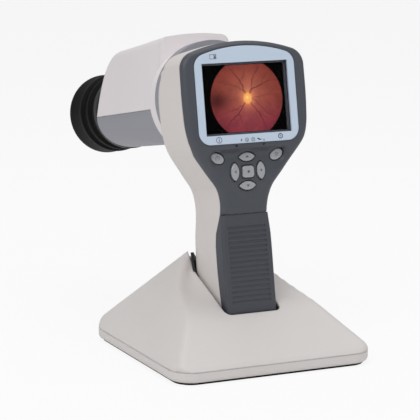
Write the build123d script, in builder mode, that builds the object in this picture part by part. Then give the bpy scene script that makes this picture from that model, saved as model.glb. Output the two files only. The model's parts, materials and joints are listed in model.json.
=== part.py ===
from build123d import *
from math import sin, cos, radians, sqrt
import os

# Handheld imaging device standing in its charging stand (mm): a handset with screen, keys and
# handle, an optics module twisted onto the back of its head, and a square stand.
# Stand frame: X to the right, Y to the back, Z up, foot pad on z = 0. The screen faces -Y and
# the handset leans back. Handset frame, from the screen centre: u to the right, v up along the
# handset, w out of the screen. Depth is -w, so it grows towards the back.

os.makedirs("parts", exist_ok=True)

# ---------------------------------------------------------------------------
# Driving dimensions
# ---------------------------------------------------------------------------
LEAN = 11.014                   # degrees the handset leans back
SCREEN_CENTRE = Vector(0, -17.0, 146.0)
WALL = 2.0                      # moulded wall of the covers
GAP = 0.12                      # parting gap between neighbouring covers

BASE_SIZE = 120.0               # square foot of the stand
BASE_CORNER = 13.0              # plan corner radius of the foot
SEAM_Z = 7.1                    # seam between base tray and stand cover
HANDLE_HALF = 15.3              # half width of the handle
HANDLE_FOOT = -122.0            # v of the handle's lower end
DOCK_CLEAR = 0.7                # free gap round the handle in its pocket
LINER_WALL = 1.6                # wall of the dock well

AXIS_V = 2.0                    # optical axis above the screen centre
RING_RADIUS = 33.0              # mount ring on the back of the head
RING_BORE = 24.6

# Directions and planes of the handset frame
LEAN_SIN, LEAN_COS = sin(radians(LEAN)), cos(radians(LEAN))
RIGHT = Vector(1, 0, 0)
UP = Vector(0, LEAN_SIN, LEAN_COS)
OUT = Vector(0, -LEAN_COS, LEAN_SIN)
BACK = Vector(0, LEAN_COS, -LEAN_SIN)
AXIS_ORIGIN = SCREEN_CENTRE + UP * AXIS_V

FACE = Plane(origin=SCREEN_CENTRE, x_dir=RIGHT, z_dir=OUT)    # sketch (u, v), offset = w
SIDE = Plane(origin=SCREEN_CENTRE, x_dir=UP, z_dir=RIGHT)     # sketch (v, w), offset = u
CROSS = Plane(origin=SCREEN_CENTRE, x_dir=RIGHT, z_dir=UP)    # sketch (u, depth), offset = v
OPTIC = Plane(origin=AXIS_ORIGIN, x_dir=BACK, z_dir=RIGHT)    # sketch (depth, radius)
SLICE = Plane(origin=AXIS_ORIGIN, x_dir=-RIGHT, z_dir=BACK)   # sketch (-u, up), offset = depth
OUTWARD = Axis(SCREEN_CENTRE, OUT)
OPTICAL_AXIS = Axis(AXIS_ORIGIN, BACK)


# ---------------------------------------------------------------------------
# Shared helpers
# ---------------------------------------------------------------------------
def save(part, name):
    part.label = name
    export_step(part, "parts/" + name + ".step")


def discs(spots, radius, mode=Mode.ADD):
    """Draw equal circles at the spots in the active sketch."""
    with Locations(*spots):
        Circle(radius, mode=mode)


def rectangles(rows):
    """Draw rectangles (centre x, centre y, width, height) in the active sketch."""
    for x, y, width, height in rows:
        with Locations((x, y)):
            Rectangle(width, height)


def prism(points, plane=SIDE):
    """Prism to both sides of a plane from a closed polygon."""
    with BuildPart() as piece:
        with BuildSketch(plane):
            with BuildLine():
                Polyline(*points, close=True)
            make_face()
        extrude(amount=80, both=True)
    return piece.part


def turned(profile):
    """Ring turned about the optical axis from a closed (depth, radius) outline."""
    with BuildPart() as piece:
        with BuildSketch(OPTIC):
            with BuildLine():
                Polyline(*profile, close=True)
            make_face()
        revolve(axis=OPTICAL_AXIS)
    return piece.part


def socket_screws(plane, spots, head, shank, socket):
    """Screws with hexagon sockets; head, shank and socket are (offset, radius, height)."""
    with BuildPart() as piece:
        for offset, radius, height in (head, shank):
            with BuildSketch(plane.offset(offset)):
                discs(spots, radius)
            extrude(amount=height)
        offset, radius, height = socket
        with BuildSketch(plane.offset(offset)):
            with Locations(*spots):
                RegularPolygon(radius, 6)
        extrude(amount=height, mode=Mode.SUBTRACT)
    return piece.part


def round_backed_outline(half, front, back, corner):
    """Draw a (u, depth) outline with two rounded back corners in the active BuildLine."""
    mid = corner * (1 - sqrt(0.5))
    Line((-half, front), (half, front))
    Line((half, front), (half, back - corner))
    ThreePointArc((half, back - corner), (half - mid, back - mid), (half - corner, back))
    Line((half - corner, back), (-half + corner, back))
    ThreePointArc((-half + corner, back), (-half + mid, back - mid), (-half, back - corner))
    Line((-half, back - corner), (-half, front))


# ---------------------------------------------------------------------------
# Envelope of the handset; inset 0 gives the outer skin, a positive inset the inner one
# ---------------------------------------------------------------------------
# Slices across the handset: v, half width, depth of the back, rounding of the back edges
SECTIONS = [
    (HANDLE_FOOT, 15.1, 61.3, 14.4), (-108.0, 15.3, 61.2, 14.6), (-95.0, 15.3, 60.9, 14.6),
    (-84.0, 15.3, 60.0, 14.6), (-74.0, 15.1, 59.0, 14.2), (-66.0, 14.4, 57.9, 13.6),
    (-60.0, 14.1, 57.0, 12.8), (-54.0, 14.9, 55.2, 11.6), (-48.0, 17.1, 52.3, 10.2),
    (-42.0, 21.7, 49.0, 8.8), (-35.5, 26.6, 46.1, 8.0), (-29.0, 31.4, 43.7, 7.6),
    (-22.5, 35.0, 41.6, 7.5), (-15.0, 36.8, 40.4, 7.5), (-6.0, 37.4, 40.0, 7.5),
    (1.0, 37.6, 39.9, 7.5), (8.0, 37.6, 38.5, 7.5), (15.0, 37.5, 34.3, 7.5),
    (21.5, 37.4, 27.6, 7.5), (27.0, 37.4, 19.2, 7.0), (33.0, 37.4, 5.5, 6.0),
]
SLICE_FRONT = -6                # depth where every slice starts, in front of the screen

# Front skin from head to handle: v, w, shift of v per unit of inset
FRONT_SKIN = [
    (-26.6, 0.0, 0.8), (-28.0, -1.6, 0.8), (-29.2, -4.4, 0.8), (-31.4, -5.9, 0), (-35, -5.9, 0),
    (-40, -5.6, 0), (-47.6, -7.4, 0), (-55, -9.8, 0), (-63, -11.9, 0), (-72, -12.2, 0),
]

CROWN_HALF = 37.9               # outline of the head seen from the front
CROWN_SHOULDER = 23.5
CROWN_TOP = 31.4
CROWN_CORNER = 10.0
TRIM_FOOT, TRIM_TOP, TRIM_REAR = -130.0, 40.0, -90.0    # v, v and w beyond the handset


def faired(rows, steps):
    """Rows with extra ones between them on a smooth (Hermite) curve."""
    fine = []
    for k in range(len(rows) - 1):
        here, ahead = rows[k], rows[k + 1]
        before, beyond = rows[max(k - 1, 0)], rows[min(k + 2, len(rows) - 1)]
        rise = ahead[0] - here[0]
        for j in range(steps):
            t = j / steps
            row = [here[0] + rise * t]
            for col in (1, 2, 3):
                leave = (ahead[col] - before[col]) / (ahead[0] - before[0]) * rise
                arrive = (beyond[col] - here[col]) / (beyond[0] - here[0]) * rise
                row.append((2 * t**3 - 3 * t**2 + 1) * here[col] + (t**3 - 2 * t**2 + t) * leave
                           + (-2 * t**3 + 3 * t**2) * ahead[col] + (t**3 - t**2) * arrive)
            fine.append(tuple(row))
    fine.append(rows[-1])
    return fine


def crown_prism(inset):
    """Head outline with its arched top, run through the handset."""
    half, shoulder = CROWN_HALF - inset, CROWN_SHOULDER - inset
    foot = TRIM_FOOT + 0.5 * inset
    with BuildPart() as piece:
        with BuildSketch(FACE) as outline:
            with BuildLine():
                ThreePointArc((-half, shoulder), (0, CROWN_TOP - inset), (half, shoulder))
                Polyline((half, shoulder), (half, foot), (-half, foot), (-half, shoulder))
            make_face()
            fillet(outline.vertices().group_by(Axis.Y)[-1], CROWN_CORNER - inset)
        extrude(amount=100, both=True)
    return piece.part


def front_prism(inset):
    """Everything behind the front skin, run across the handset."""
    skin = [(v + shift * inset, w - inset) for v, w, shift in FRONT_SKIN]
    with BuildPart() as piece:
        with BuildSketch(SIDE):
            with BuildLine():
                Line((TRIM_TOP, -inset), skin[0])
                Spline(*skin, tangents=((-1, 0), (-1, 0)))
                Polyline(skin[-1], (TRIM_FOOT, -12.4 - inset), (TRIM_FOOT, TRIM_REAR),
                         (TRIM_TOP, TRIM_REAR), (TRIM_TOP, -inset))
            make_face()
        extrude(amount=60, both=True)
    return piece.part


def envelope(inset):
    """Loft of the slices, trimmed to the crown outline and to the front skin."""
    with BuildPart() as body:
        for v, half, back, corner in faired(SECTIONS, steps=2):
            with BuildSketch(CROSS.offset(v)):
                with BuildLine():
                    round_backed_outline(half - inset, SLICE_FRONT, back - inset,
                                         corner - inset * 0.8)
                make_face()
        loft(ruled=True)
        add(crown_prism(inset), mode=Mode.INTERSECT)
        add(front_prism(inset), mode=Mode.INTERSECT)
    return body.part


outer_skin = envelope(0.0)
inner_skin = envelope(WALL)

# Parting lines in side view (v, w): down the head and neck, then down the handle
HEAD_SEAM = [(45, -3.5), (-18, -3.5), (-25, -4.9), (-30, -8.3), (-36, -9.6), (-45, -11.2),
             (-55, -13.5), (-63, -15.8)]
GRIP_SEAM = [HEAD_SEAM[-1], (-73, -20.5), (-80, -21.6), (-95, -21.7), (-112, -20.2),
             (-123, -19.6)]
ZONE_TOP, NECK_V, ZONE_FOOT = HEAD_SEAM[0][0], HEAD_SEAM[-1][0], GRIP_SEAM[-1][0]
ZONE_FRONT, ZONE_REAR = 10, -80     # w of the zone faces clear of the handset

fascia_zone = prism([(ZONE_TOP, ZONE_FRONT)] + HEAD_SEAM + [(NECK_V, ZONE_FRONT)])
grip_zone = prism([(NECK_V - GAP, ZONE_FRONT)] + [(v - GAP, w) for v, w in GRIP_SEAM]
                  + [(ZONE_FOOT, ZONE_FRONT)])
shell_zone = prism([(v, w - GAP) for v, w in HEAD_SEAM + GRIP_SEAM[1:]]
                   + [(ZONE_FOOT, ZONE_REAR), (ZONE_TOP, ZONE_REAR)])


def reach(edge, direction):
    """Distance of an edge's centre from the screen centre along a direction."""
    return (edge.center() - SCREEN_CENTRE).dot(direction)


# ---------------------------------------------------------------------------
# Keys
# ---------------------------------------------------------------------------
# Shape, u, v, turn in degrees, w of the finger face
KEYS = {
    "power_button": ("oval", -18.0, -31.8, -27, -5.1),
    "menu_button": ("oval", 18.0, -31.6, 27, -5.1),
    "up_button": ("eye", 0.0, -31.9, 0, -5.2),
    "down_button": ("eye", 0.0, -47.6, 0, -6.5),
    "left_button": ("eye", -7.9, -39.8, 90, -4.7),
    "right_button": ("eye", 7.9, -39.8, 90, -4.7),
    "select_button": ("square", 0.0, -40.1, 0, -4.6),
}
KEY_BACK = -10.6                # w of the stem's back, where the flange starts
KEY_FLANGE, KEY_FLANGE_GROW = 0.7, 0.65
KEY_HOLE_GROW = 0.35
KEY_ROUNDING = 0.55
OVAL_HALF = (4.1, 2.8)
EYE_HALF = (4.95, 2.45)
SQUARE_SIZE, SQUARE_CORNER = (7.0, 6.5), 1.7


def key_outline(shape, grow):
    """Outline of one key about its own centre, grown for holes and flanges."""
    with BuildSketch() as outline:
        if shape == "oval":
            Ellipse(OVAL_HALF[0] + grow, OVAL_HALF[1] + grow)
        elif shape == "eye":
            half_length, half_height = EYE_HALF
            with BuildLine():
                ThreePointArc((-half_length, 0), (0, half_height), (half_length, 0))
                ThreePointArc((half_length, 0), (0, -half_height), (-half_length, 0))
            make_face()
            fillet(outline.vertices(), 0.5)
            if grow > 0:
                offset(amount=grow, kind=Kind.ARC)
        else:
            RectangleRounded(SQUARE_SIZE[0] + 2 * grow, SQUARE_SIZE[1] + 2 * grow,
                             SQUARE_CORNER + grow)
    return outline.sketch


def key_plane(name, w):
    """Plane parallel to the screen, centred on a key and turned with it."""
    _, u, v, turn, _ = KEYS[name]
    return Plane(origin=SCREEN_CENTRE + RIGHT * u + UP * v + OUT * w,
                 x_dir=RIGHT * cos(radians(turn)) + UP * sin(radians(turn)), z_dir=OUT)


def key(name):
    """Key stem with a rounded finger face and a flange at its back."""
    shape, top = KEYS[name][0], KEYS[name][-1]
    with BuildPart() as piece:
        with BuildSketch(key_plane(name, KEY_BACK - KEY_FLANGE)):
            add(key_outline(shape, KEY_FLANGE_GROW))
        extrude(amount=KEY_FLANGE)
        with BuildSketch(key_plane(name, KEY_BACK)):
            add(key_outline(shape, 0.0))
        extrude(amount=top - KEY_BACK)
        finger_face = piece.faces().sort_by(OUTWARD)[-1]
        fillet(finger_face.edges(), KEY_ROUNDING)
    return piece.part


# ---------------------------------------------------------------------------
# Front fascia and display
# ---------------------------------------------------------------------------
HEAD_SCREWS = [(-32.7, 16.0), (32.7, 16.0), (-32.4, -14.5), (32.4, -14.5)]     # (u, v)
FASCIA_ROUNDING = 2.6
PIN_HOLES = [(-8.3, -25.7), (8.3, -25.7)]
PIN_HOLE_RADIUS = 0.5

BEZEL_TOP, BEZEL_SHOULDER, BEZEL_BOTTOM, BEZEL_HALF = 28.5, 22.8, -24.5, 30.3
BEZEL_UPPER_CORNER, BEZEL_LOWER_CORNER = 7.5, 7.0
BEZEL_OPENING = (51.8, 39.2)
WINDOW_SIZE = (53.4, 41.2)
WINDOW_CLEAR = 0.4              # window opening in the fascia minus window size
GASKET_OPENING = (49.3, 37.1)
LAYER = 0.95                    # thickness of window and gasket


def bezel_outline(grow):
    """Arched plate round the screen, grown for its recess."""
    half, shoulder = BEZEL_HALF + grow, BEZEL_SHOULDER + grow
    bottom = BEZEL_BOTTOM - grow
    with BuildSketch() as outline:
        with BuildLine():
            ThreePointArc((-half, shoulder), (0, BEZEL_TOP + grow), (half, shoulder))
            Polyline((half, shoulder), (half, bottom), (-half, bottom), (-half, shoulder))
        make_face()
        fillet(outline.vertices().sort_by(Axis.Y)[-2:], BEZEL_UPPER_CORNER + grow)
        fillet(outline.vertices().sort_by(Axis.Y)[:2], BEZEL_LOWER_CORNER + grow)
    return outline.sketch


def front_fascia():
    """Front of head and neck with the screen opening and the key holes."""
    with BuildPart() as piece:
        add(outer_skin)
        add(fascia_zone, mode=Mode.INTERSECT)
        rim = [e for e in piece.edges()
               if reach(e, OUT) > -0.05 and reach(e, UP) > -20 and e.length > 1.0]
        fillet(rim, FASCIA_ROUNDING)
        add(inner_skin, mode=Mode.SUBTRACT)
        # screw bosses and their bores: w, radius, height
        for w, radius, height, mode in ((-12.8, 2.05, 11.5, Mode.ADD),
                                        (-13, 1.25, 8, Mode.SUBTRACT)):
            with BuildSketch(FACE.offset(w)):
                discs(HEAD_SCREWS, radius)
            extrude(amount=height, mode=mode)
        # recess for the bezel, then the window opening
        with BuildSketch(FACE.offset(-1.0)):
            add(bezel_outline(GAP))
        extrude(amount=3, mode=Mode.SUBTRACT)
        with BuildSketch(FACE.offset(-4)):
            Rectangle(WINDOW_SIZE[0] + WINDOW_CLEAR, WINDOW_SIZE[1] + WINDOW_CLEAR)
        extrude(amount=6, mode=Mode.SUBTRACT)
        # two pin holes below the window
        with BuildSketch(FACE.offset(-6)):
            discs(PIN_HOLES, PIN_HOLE_RADIUS)
        extrude(amount=8, mode=Mode.SUBTRACT)
        for name in KEYS:
            with BuildSketch(key_plane(name, -16)):
                add(key_outline(KEYS[name][0], KEY_HOLE_GROW))
            extrude(amount=14, mode=Mode.SUBTRACT)
    return piece.part


def display_bezel():
    with BuildPart() as piece:
        with BuildSketch(FACE.offset(-0.95)):
            add(bezel_outline(0.0))
            Rectangle(*BEZEL_OPENING, mode=Mode.SUBTRACT)
        extrude(amount=1.2)
        chamfer(piece.faces().sort_by(OUTWARD)[-1].outer_wire().edges(), 0.25)
    return piece.part


def display_window():
    with BuildPart() as piece:
        with BuildSketch(FACE.offset(-2.0)):
            Rectangle(*WINDOW_SIZE)
        extrude(amount=LAYER)
    return piece.part


def display_gasket():
    """Frame behind the window."""
    with BuildPart() as piece:
        with BuildSketch(FACE.offset(-3.0)):
            Rectangle(*WINDOW_SIZE)
            Rectangle(*GASKET_OPENING, mode=Mode.SUBTRACT)
        extrude(amount=LAYER)
    return piece.part


def display_panel():
    """Panel with a thin block on its back."""
    with BuildPart() as piece:
        with BuildSketch(FACE.offset(-5.6)):
            RectangleRounded(60.3, 42.9, 0.8)
        extrude(amount=2.5)
        with BuildSketch(FACE.offset(-6.4)):
            rectangles([(0, -14, 22, 8)])
        extrude(amount=0.9)
    return piece.part


# ---------------------------------------------------------------------------
# Boards and sensor in the head
# ---------------------------------------------------------------------------
BOARD = 1.6                     # thickness of every circuit board
# Blocks on the back of the boards: u, v, width, height
MAIN_CHIPS = [(-15, 10, 15, 15), (6, -12, 11, 8), (18, 12, 9, 9)]
MAIN_CONNECTOR = [(0, -16, 20, 4)]
KEYPAD_CONNECTOR = [(0, -34, 14, 4.5)]
SCREW_RELIEF = 4.2              # radius cut from the main board round each head screw
STANDOFFS = [(u, AXIS_V + v) for u in (-14, 14) for v in (-12, 12)]
# Outline of the keypad layers (u, v)
KEYPAD_PLAN = [(-23.5, -26.5), (23.5, -26.5), (23.5, -35.0), (13.0, -47.5), (11.4, -53.0),
               (-11.4, -53.0), (-13.0, -47.5), (-23.5, -35.0)]


def main_board():
    with BuildPart() as piece:
        with BuildSketch(FACE.offset(-9.8)):
            with Locations((0, 1.5)):
                RectangleRounded(58, 41, 1.5)
            discs(HEAD_SCREWS, SCREW_RELIEF, mode=Mode.SUBTRACT)
        extrude(amount=BOARD)
        for w, blocks, height in ((-12.0, MAIN_CHIPS, 2.3), (-13.6, MAIN_CONNECTOR, 3.9)):
            with BuildSketch(FACE.offset(w)):
                rectangles(blocks)
            extrude(amount=height)
    return piece.part


def sensor_board():
    """Board across the optical axis on four standoffs reaching forward."""
    with BuildPart() as piece:
        with BuildSketch(FACE.offset(-22.0)):
            with Locations((0, AXIS_V)):
                RectangleRounded(34, 30, 2)
        extrude(amount=BOARD)
        with BuildSketch(FACE.offset(-21.0)):
            discs(STANDOFFS, 1.6)
        extrude(amount=8.9)
    return piece.part


def image_sensor():
    """Block with a shallow recess in its back face."""
    with BuildPart() as piece:
        with BuildSketch(FACE.offset(-24.4)):
            with Locations((0, AXIS_V)):
                RectangleRounded(16, 14, 0.6)
        extrude(amount=2.35)
        with BuildSketch(FACE.offset(-24.4)):
            rectangles([(0, AXIS_V, 12, 10)])
        extrude(amount=0.5, mode=Mode.SUBTRACT)
    return piece.part


def keypad_layer(w, thickness):
    """Plate of the keypad outline with its back at w."""
    with BuildPart() as piece:
        with BuildSketch(FACE.offset(w)):
            with BuildLine():
                Polyline(*KEYPAD_PLAN, close=True)
            make_face()
        extrude(amount=thickness)
    return piece.part


def keypad_membrane():
    return keypad_layer(-13.1, 1.0)


def keypad_board():
    with BuildPart() as piece:
        add(keypad_layer(-14.8, BOARD))
        with BuildSketch(FACE.offset(-17.2)):
            rectangles(KEYPAD_CONNECTOR)
        extrude(amount=2.5)
    return piece.part


# ---------------------------------------------------------------------------
# Back shell of the handset, its screws and the trigger
# ---------------------------------------------------------------------------
TRIGGER_V = -55.0
TRIGGER_SIZE, TRIGGER_CORNER = (11.0, 20.0), 4.0
TRIGGER_CLEAR = 0.4             # free gap round the trigger in the shell
# Finger hollow in the trigger's back: v from the trigger centre, w
TRIGGER_HOLLOW = [(-14, -59.5), (-5, -57.6), (3, -55.6), (14, -54.2)]
HOLLOW_REAR = -66
RING_SEAT_DEPTH = 40.3
RING_SEAT_CLEAR = 0.3
IMAGING_HOLE_RADIUS = 17.0

# At each head screw: w of the back end, radius, length
SHELL_POSTS = [
    (-30.6, 3.4, 17.6, Mode.ADD),       # post
    (-31.6, 3.4, 1.1, Mode.ADD),        # back end of the post
    (-60, 2.6, 31.6, Mode.SUBTRACT),    # counterbore from behind
    (-60, 1.35, 60, Mode.SUBTRACT),     # clearance bore
]


def handset_shell():
    with BuildPart() as piece:
        add(outer_skin)
        add(shell_zone, mode=Mode.INTERSECT)
        add(inner_skin, mode=Mode.SUBTRACT)
        for w, radius, length, mode in SHELL_POSTS:
            with BuildSketch(FACE.offset(w)):
                discs(HEAD_SCREWS, radius)
            extrude(amount=length, mode=mode)
        # seat of the mount ring, then the openings for the imaging path and the trigger
        with BuildSketch(SLICE.offset(RING_SEAT_DEPTH)):
            Circle(RING_RADIUS + RING_SEAT_CLEAR)
        extrude(amount=20, mode=Mode.SUBTRACT)
        with BuildSketch(FACE.offset(-60)):
            discs([(0, AXIS_V)], IMAGING_HOLE_RADIUS)
        extrude(amount=32, mode=Mode.SUBTRACT)
        with BuildSketch(FACE.offset(-70)):
            with Locations((0, TRIGGER_V)):
                RectangleRounded(TRIGGER_SIZE[0] + 2 * TRIGGER_CLEAR,
                                 TRIGGER_SIZE[1] + 2 * TRIGGER_CLEAR,
                                 TRIGGER_CORNER + TRIGGER_CLEAR)
        extrude(amount=30, mode=Mode.SUBTRACT)
    return piece.part


def handset_screws():
    return socket_screws(FACE, HEAD_SCREWS, head=(-30.0, 2.3, 1.55), shank=(-29.0, 1.2, 22.5),
                         socket=(-30.0, 1.1, 0.8))


def shutter_trigger():
    """Trigger with a flange at its front end and a finger hollow in its back."""
    hollow = [(TRIGGER_V + rise, w) for rise, w in TRIGGER_HOLLOW]
    with BuildPart() as piece:
        with BuildSketch(FACE.offset(-47.0)):
            with Locations((0, TRIGGER_V)):
                RectangleRounded(14.5, 23, 5)
        extrude(amount=1.5)
        with BuildSketch(FACE.offset(-59.0)):
            with Locations((0, TRIGGER_V)):
                RectangleRounded(*TRIGGER_SIZE, TRIGGER_CORNER)
        extrude(amount=12.2)
        with BuildSketch(SIDE):
            with BuildLine():
                Spline(*hollow)
                Polyline(hollow[-1], (hollow[-1][0], HOLLOW_REAR), (hollow[0][0], HOLLOW_REAR),
                         hollow[0])
            make_face()
        extrude(amount=12, both=True, mode=Mode.SUBTRACT)
    return piece.part


# ---------------------------------------------------------------------------
# Handle: ribbed grip, end cap, contacts and battery
# ---------------------------------------------------------------------------
RIB_TOP, RIB_PITCH, GROOVE_COUNT = -70.5, 2.73, 16
GROOVE_W, GROOVE_RADIUS, GROOVE_HALF = -11.9, 0.85, 11.6
GRIP_ROUNDING = 2.0
CAP_V = -119.6                  # upper face of the end cap
CONTACT_DEPTH = 36.0
CONTACT_PITCH = 5.0
CONTACT_SPOTS = [((k - 1.5) * CONTACT_PITCH, CONTACT_DEPTH) for k in range(4)]   # (u, depth)
CELL_SPOTS, CELL_RADIUS = [(0, 26.4), (0, 44.8)], 9.2
BATTERY_DEPTH = 35.6


def grip_cover():
    """Front cover of the handle with grooves between its ribs."""
    with BuildPart() as cover:
        add(outer_skin)
        add(grip_zone, mode=Mode.INTERSECT)
        long_edges = [e for e in cover.edges()
                      if reach(e, OUT) > -12.8 and abs(reach(e, RIGHT)) > 12 and e.length > 1.0]
        fillet(long_edges, GRIP_ROUNDING)
        add(inner_skin, mode=Mode.SUBTRACT)
        with BuildSketch(SIDE):
            discs([(RIB_TOP - RIB_PITCH * k, GROOVE_W) for k in range(GROOVE_COUNT)],
                  GROOVE_RADIUS)
        extrude(amount=GROOVE_HALF, both=True, mode=Mode.SUBTRACT)
    # only the largest solid is the cover
    with BuildPart() as piece:
        add(cover.part.solids().sort_by(SortBy.VOLUME)[-1])
    return piece.part


def handle_end_cap():
    """Plug closing the handle, with recesses for the contacts in its lower face."""
    plug = envelope(WALL + GAP)
    with BuildPart() as piece:
        add(plug)
        add(prism([(CAP_V, 5), (CAP_V, -80), (ZONE_FOOT, -80), (ZONE_FOOT, 5)]),
            mode=Mode.INTERSECT)
        with BuildSketch(CROSS.offset(-122.5)):
            with Locations(*CONTACT_SPOTS):
                Rectangle(3.6, 4.4)
        extrude(amount=1.5, mode=Mode.SUBTRACT)
    return piece.part


def handset_contacts():
    with BuildPart() as piece:
        with BuildSketch(CROSS.offset(-121.6)):
            with Locations(*CONTACT_SPOTS):
                Rectangle(3.4, 4.2)
        extrude(amount=0.55)
    return piece.part


def battery_pack():
    """Two round cells joined by a block, with a smaller block on top."""
    with BuildPart() as piece:
        with BuildSketch(CROSS.offset(-119.2)):
            discs(CELL_SPOTS, CELL_RADIUS)
            rectangles([(0, BATTERY_DEPTH, 12, 18)])
        extrude(amount=50)
        with BuildSketch(CROSS.offset(-69.4)):
            rectangles([(0, BATTERY_DEPTH, 10, 16)])
        extrude(amount=1.6)
    return piece.part


# ---------------------------------------------------------------------------
# Bayonet mount on the back of the head
# ---------------------------------------------------------------------------
LUG_ANGLES = (90, 210, 330)
LUG_SPAN = 28
TWIST = 30                      # turn between entry and locked position
SLOT_OFFSET, SLOT_SPAN = 2, 32

# Turned outlines: depth, radius
MOUNT_RING_PROFILE = [
    (40.4, RING_BORE - 3.6), (40.4, RING_RADIUS), (49.2, RING_RADIUS), (50.0, RING_RADIUS - 0.8),
    (50.0, RING_BORE), (46.6, RING_BORE), (46.6, 27.3), (43.4, 27.3), (43.4, RING_BORE),
    (42.0, RING_BORE), (42.0, RING_BORE - 3.6),
]
FLANGE_PROFILE = [
    (42.4, 20.0), (42.4, 24.3), (50.3, 24.3), (50.3, 30.4), (51.0, 31.0), (61.4, 31.0),
    (62.0, 30.4), (62.0, 19.4), (50.3, 19.4),
]


def sector(radius, centre_angle, span):
    """Pie slice about the sketch origin, angles in degrees."""
    start, middle, end = [
        (radius * cos(radians(angle)), radius * sin(radians(angle)))
        for angle in (centre_angle - span / 2, centre_angle, centre_angle + span / 2)]
    with BuildSketch() as outline:
        with BuildLine():
            Line((0, 0), start)
            ThreePointArc(start, middle, end)
            Line(end, (0, 0))
        make_face()
    return outline.sketch


def mount_ring():
    """Ring with an inner groove and entry slots for the lugs, a twist away from them."""
    with BuildPart() as piece:
        add(turned(MOUNT_RING_PROFILE))
        for angle in LUG_ANGLES:
            with BuildSketch(SLICE.offset(46.0)):
                add(sector(27.7, angle + TWIST + SLOT_OFFSET, SLOT_SPAN))
            extrude(amount=6, mode=Mode.SUBTRACT)
    return piece.part


def rear_window():
    """Cup with its closed end to the back."""
    with BuildPart() as piece:
        with BuildSketch(SLICE.offset(30.0)):
            Circle(16.8)
        extrude(amount=9.4)
        with BuildSketch(SLICE.offset(29.0)):
            Circle(14.6)
        extrude(amount=8.9, mode=Mode.SUBTRACT)
    return piece.part


def bayonet_flange():
    """Flange at the handset end of the optics module, with its lugs."""
    with BuildPart() as piece:
        add(turned(FLANGE_PROFILE))
        for angle in LUG_ANGLES:
            with BuildSketch(SLICE.offset(43.8)):
                add(sector(26.9, angle, LUG_SPAN))
                Circle(24.0, mode=Mode.SUBTRACT)
            extrude(amount=2.4)
    return piece.part


# ---------------------------------------------------------------------------
# Covers of the optics module
# ---------------------------------------------------------------------------
PART_V = -1.0                   # parting line between upper and lower cover
ROOT_DEPTH = 62.2               # end of the covers next to the handset
NOSE_DEPTH = 160.8              # far end of the covers on the parting line
ROOT_BORE, NOSE_BORE = 19.6, 20.6
NOSE_BORE_END = 170

# Upper cover: depth, half width low, half width high, v of the crown, v of the corners
UPPER_SECTIONS = [(61.0, 26.5, 21.0, 40.6, 38.9), (100.0, 25.0, 20.6, 38.6, 37.2),
                  (166.0, 23.0, 19.8, 36.0, 34.8)]
UPPER_CORNER = 4.5
# Roof line of the upper cover ahead of the nose: v, w
UPPER_ROOF = [(40.4, -64.5), (38.4, -100)]
# Slanted nose in side view: v, w, inset factor down, inset factor towards the handset
NOSE_CURVE = [
    (36.7, -127.0, 1, 0), (34.6, -133.5, 0.8, 0.5), (31.0, -139.8, 0.7, 0.7),
    (24.6, -147.6, 0.6, 0.8), (17.5, -152.8, 0.5, 0.9), (8.0, -157.6, 0, 1),
    (PART_V, -NOSE_DEPTH, 0, 1),
]
LOWER_FLAT = 1.0                # straight side below the parting line


def upper_side_prism(inset):
    """Side view of the upper cover, run across."""
    nose = [(v - inset * down, w + inset * inward) for v, w, down, inward in NOSE_CURVE]
    root = -ROOT_DEPTH - inset
    with BuildPart() as piece:
        with BuildSketch(SIDE):
            with BuildLine():
                Polyline((PART_V, root), (40.6 - inset, root),
                         *[(v - inset, w) for v, w in UPPER_ROOF], nose[0])
                Spline(*nose, tangents=((-0.06, -1), (-0.95, -0.3)))
                Line(nose[-1], (PART_V, root))
            make_face()
        extrude(amount=60, both=True)
    return piece.part


def upper_body(inset):
    with BuildPart() as body:
        for depth, low, high, crown, corner in UPPER_SECTIONS:
            low, high, corner = low - inset, high - inset, corner - inset
            with BuildSketch(FACE.offset(-depth)) as section:
                with BuildLine():
                    Line((-low, PART_V), (low, PART_V))
                    Line((low, PART_V), (high, corner))
                    ThreePointArc((high, corner), (0, crown - inset), (-high, corner))
                    Line((-high, corner), (-low, PART_V))
                make_face()
                fillet(section.vertices().sort_by(Axis.Y)[-2:], UPPER_CORNER - inset)
        loft(ruled=True)
        add(upper_side_prism(inset), mode=Mode.INTERSECT)
    return body.part


def lower_body(inset):
    # depth, half width, height below the parting line
    sections = ((ROOT_DEPTH + inset, 26.5, 20.4), (100.0, 25.0, 20.3),
                (NOSE_DEPTH - inset, 23.1, 19.6))
    spring_v = PART_V - LOWER_FLAT
    with BuildPart() as body:
        for depth, half, deep in sections:
            half -= inset
            with BuildSketch(FACE.offset(-depth)):
                with BuildLine():
                    Line((-half, PART_V), (-half, spring_v))
                    EllipticalCenterArc((0, spring_v), half, deep - LOWER_FLAT - inset,
                                        start_angle=180, arc_size=180)
                    Line((half, spring_v), (half, PART_V))
                    Line((half, PART_V), (-half, PART_V))
                make_face()
        loft(ruled=True)
    return body.part


def optics_cover(body, side, nose_bore_start):
    """Hollow cover above (side 1) or below (side -1) the parting line, bored at both ends."""
    edge, far = PART_V + side * GAP / 2, side * 80
    with BuildPart() as piece:
        add(body(0.0))
        add(prism([(edge, 0), (far, 0), (far, -200), (edge, -200)]), mode=Mode.INTERSECT)
        add(body(WALL), mode=Mode.SUBTRACT)
        for depth, radius, end in ((55, ROOT_BORE, 70),
                                   (nose_bore_start, NOSE_BORE, NOSE_BORE_END)):
            with BuildSketch(SLICE.offset(depth)):
                Circle(radius)
            extrude(amount=end - depth, mode=Mode.SUBTRACT)
    return piece.part


def optics_upper_cover():
    return optics_cover(upper_body, side=1, nose_bore_start=120)


def optics_lower_cover():
    return optics_cover(lower_body, side=-1, nose_bore_start=140)


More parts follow.
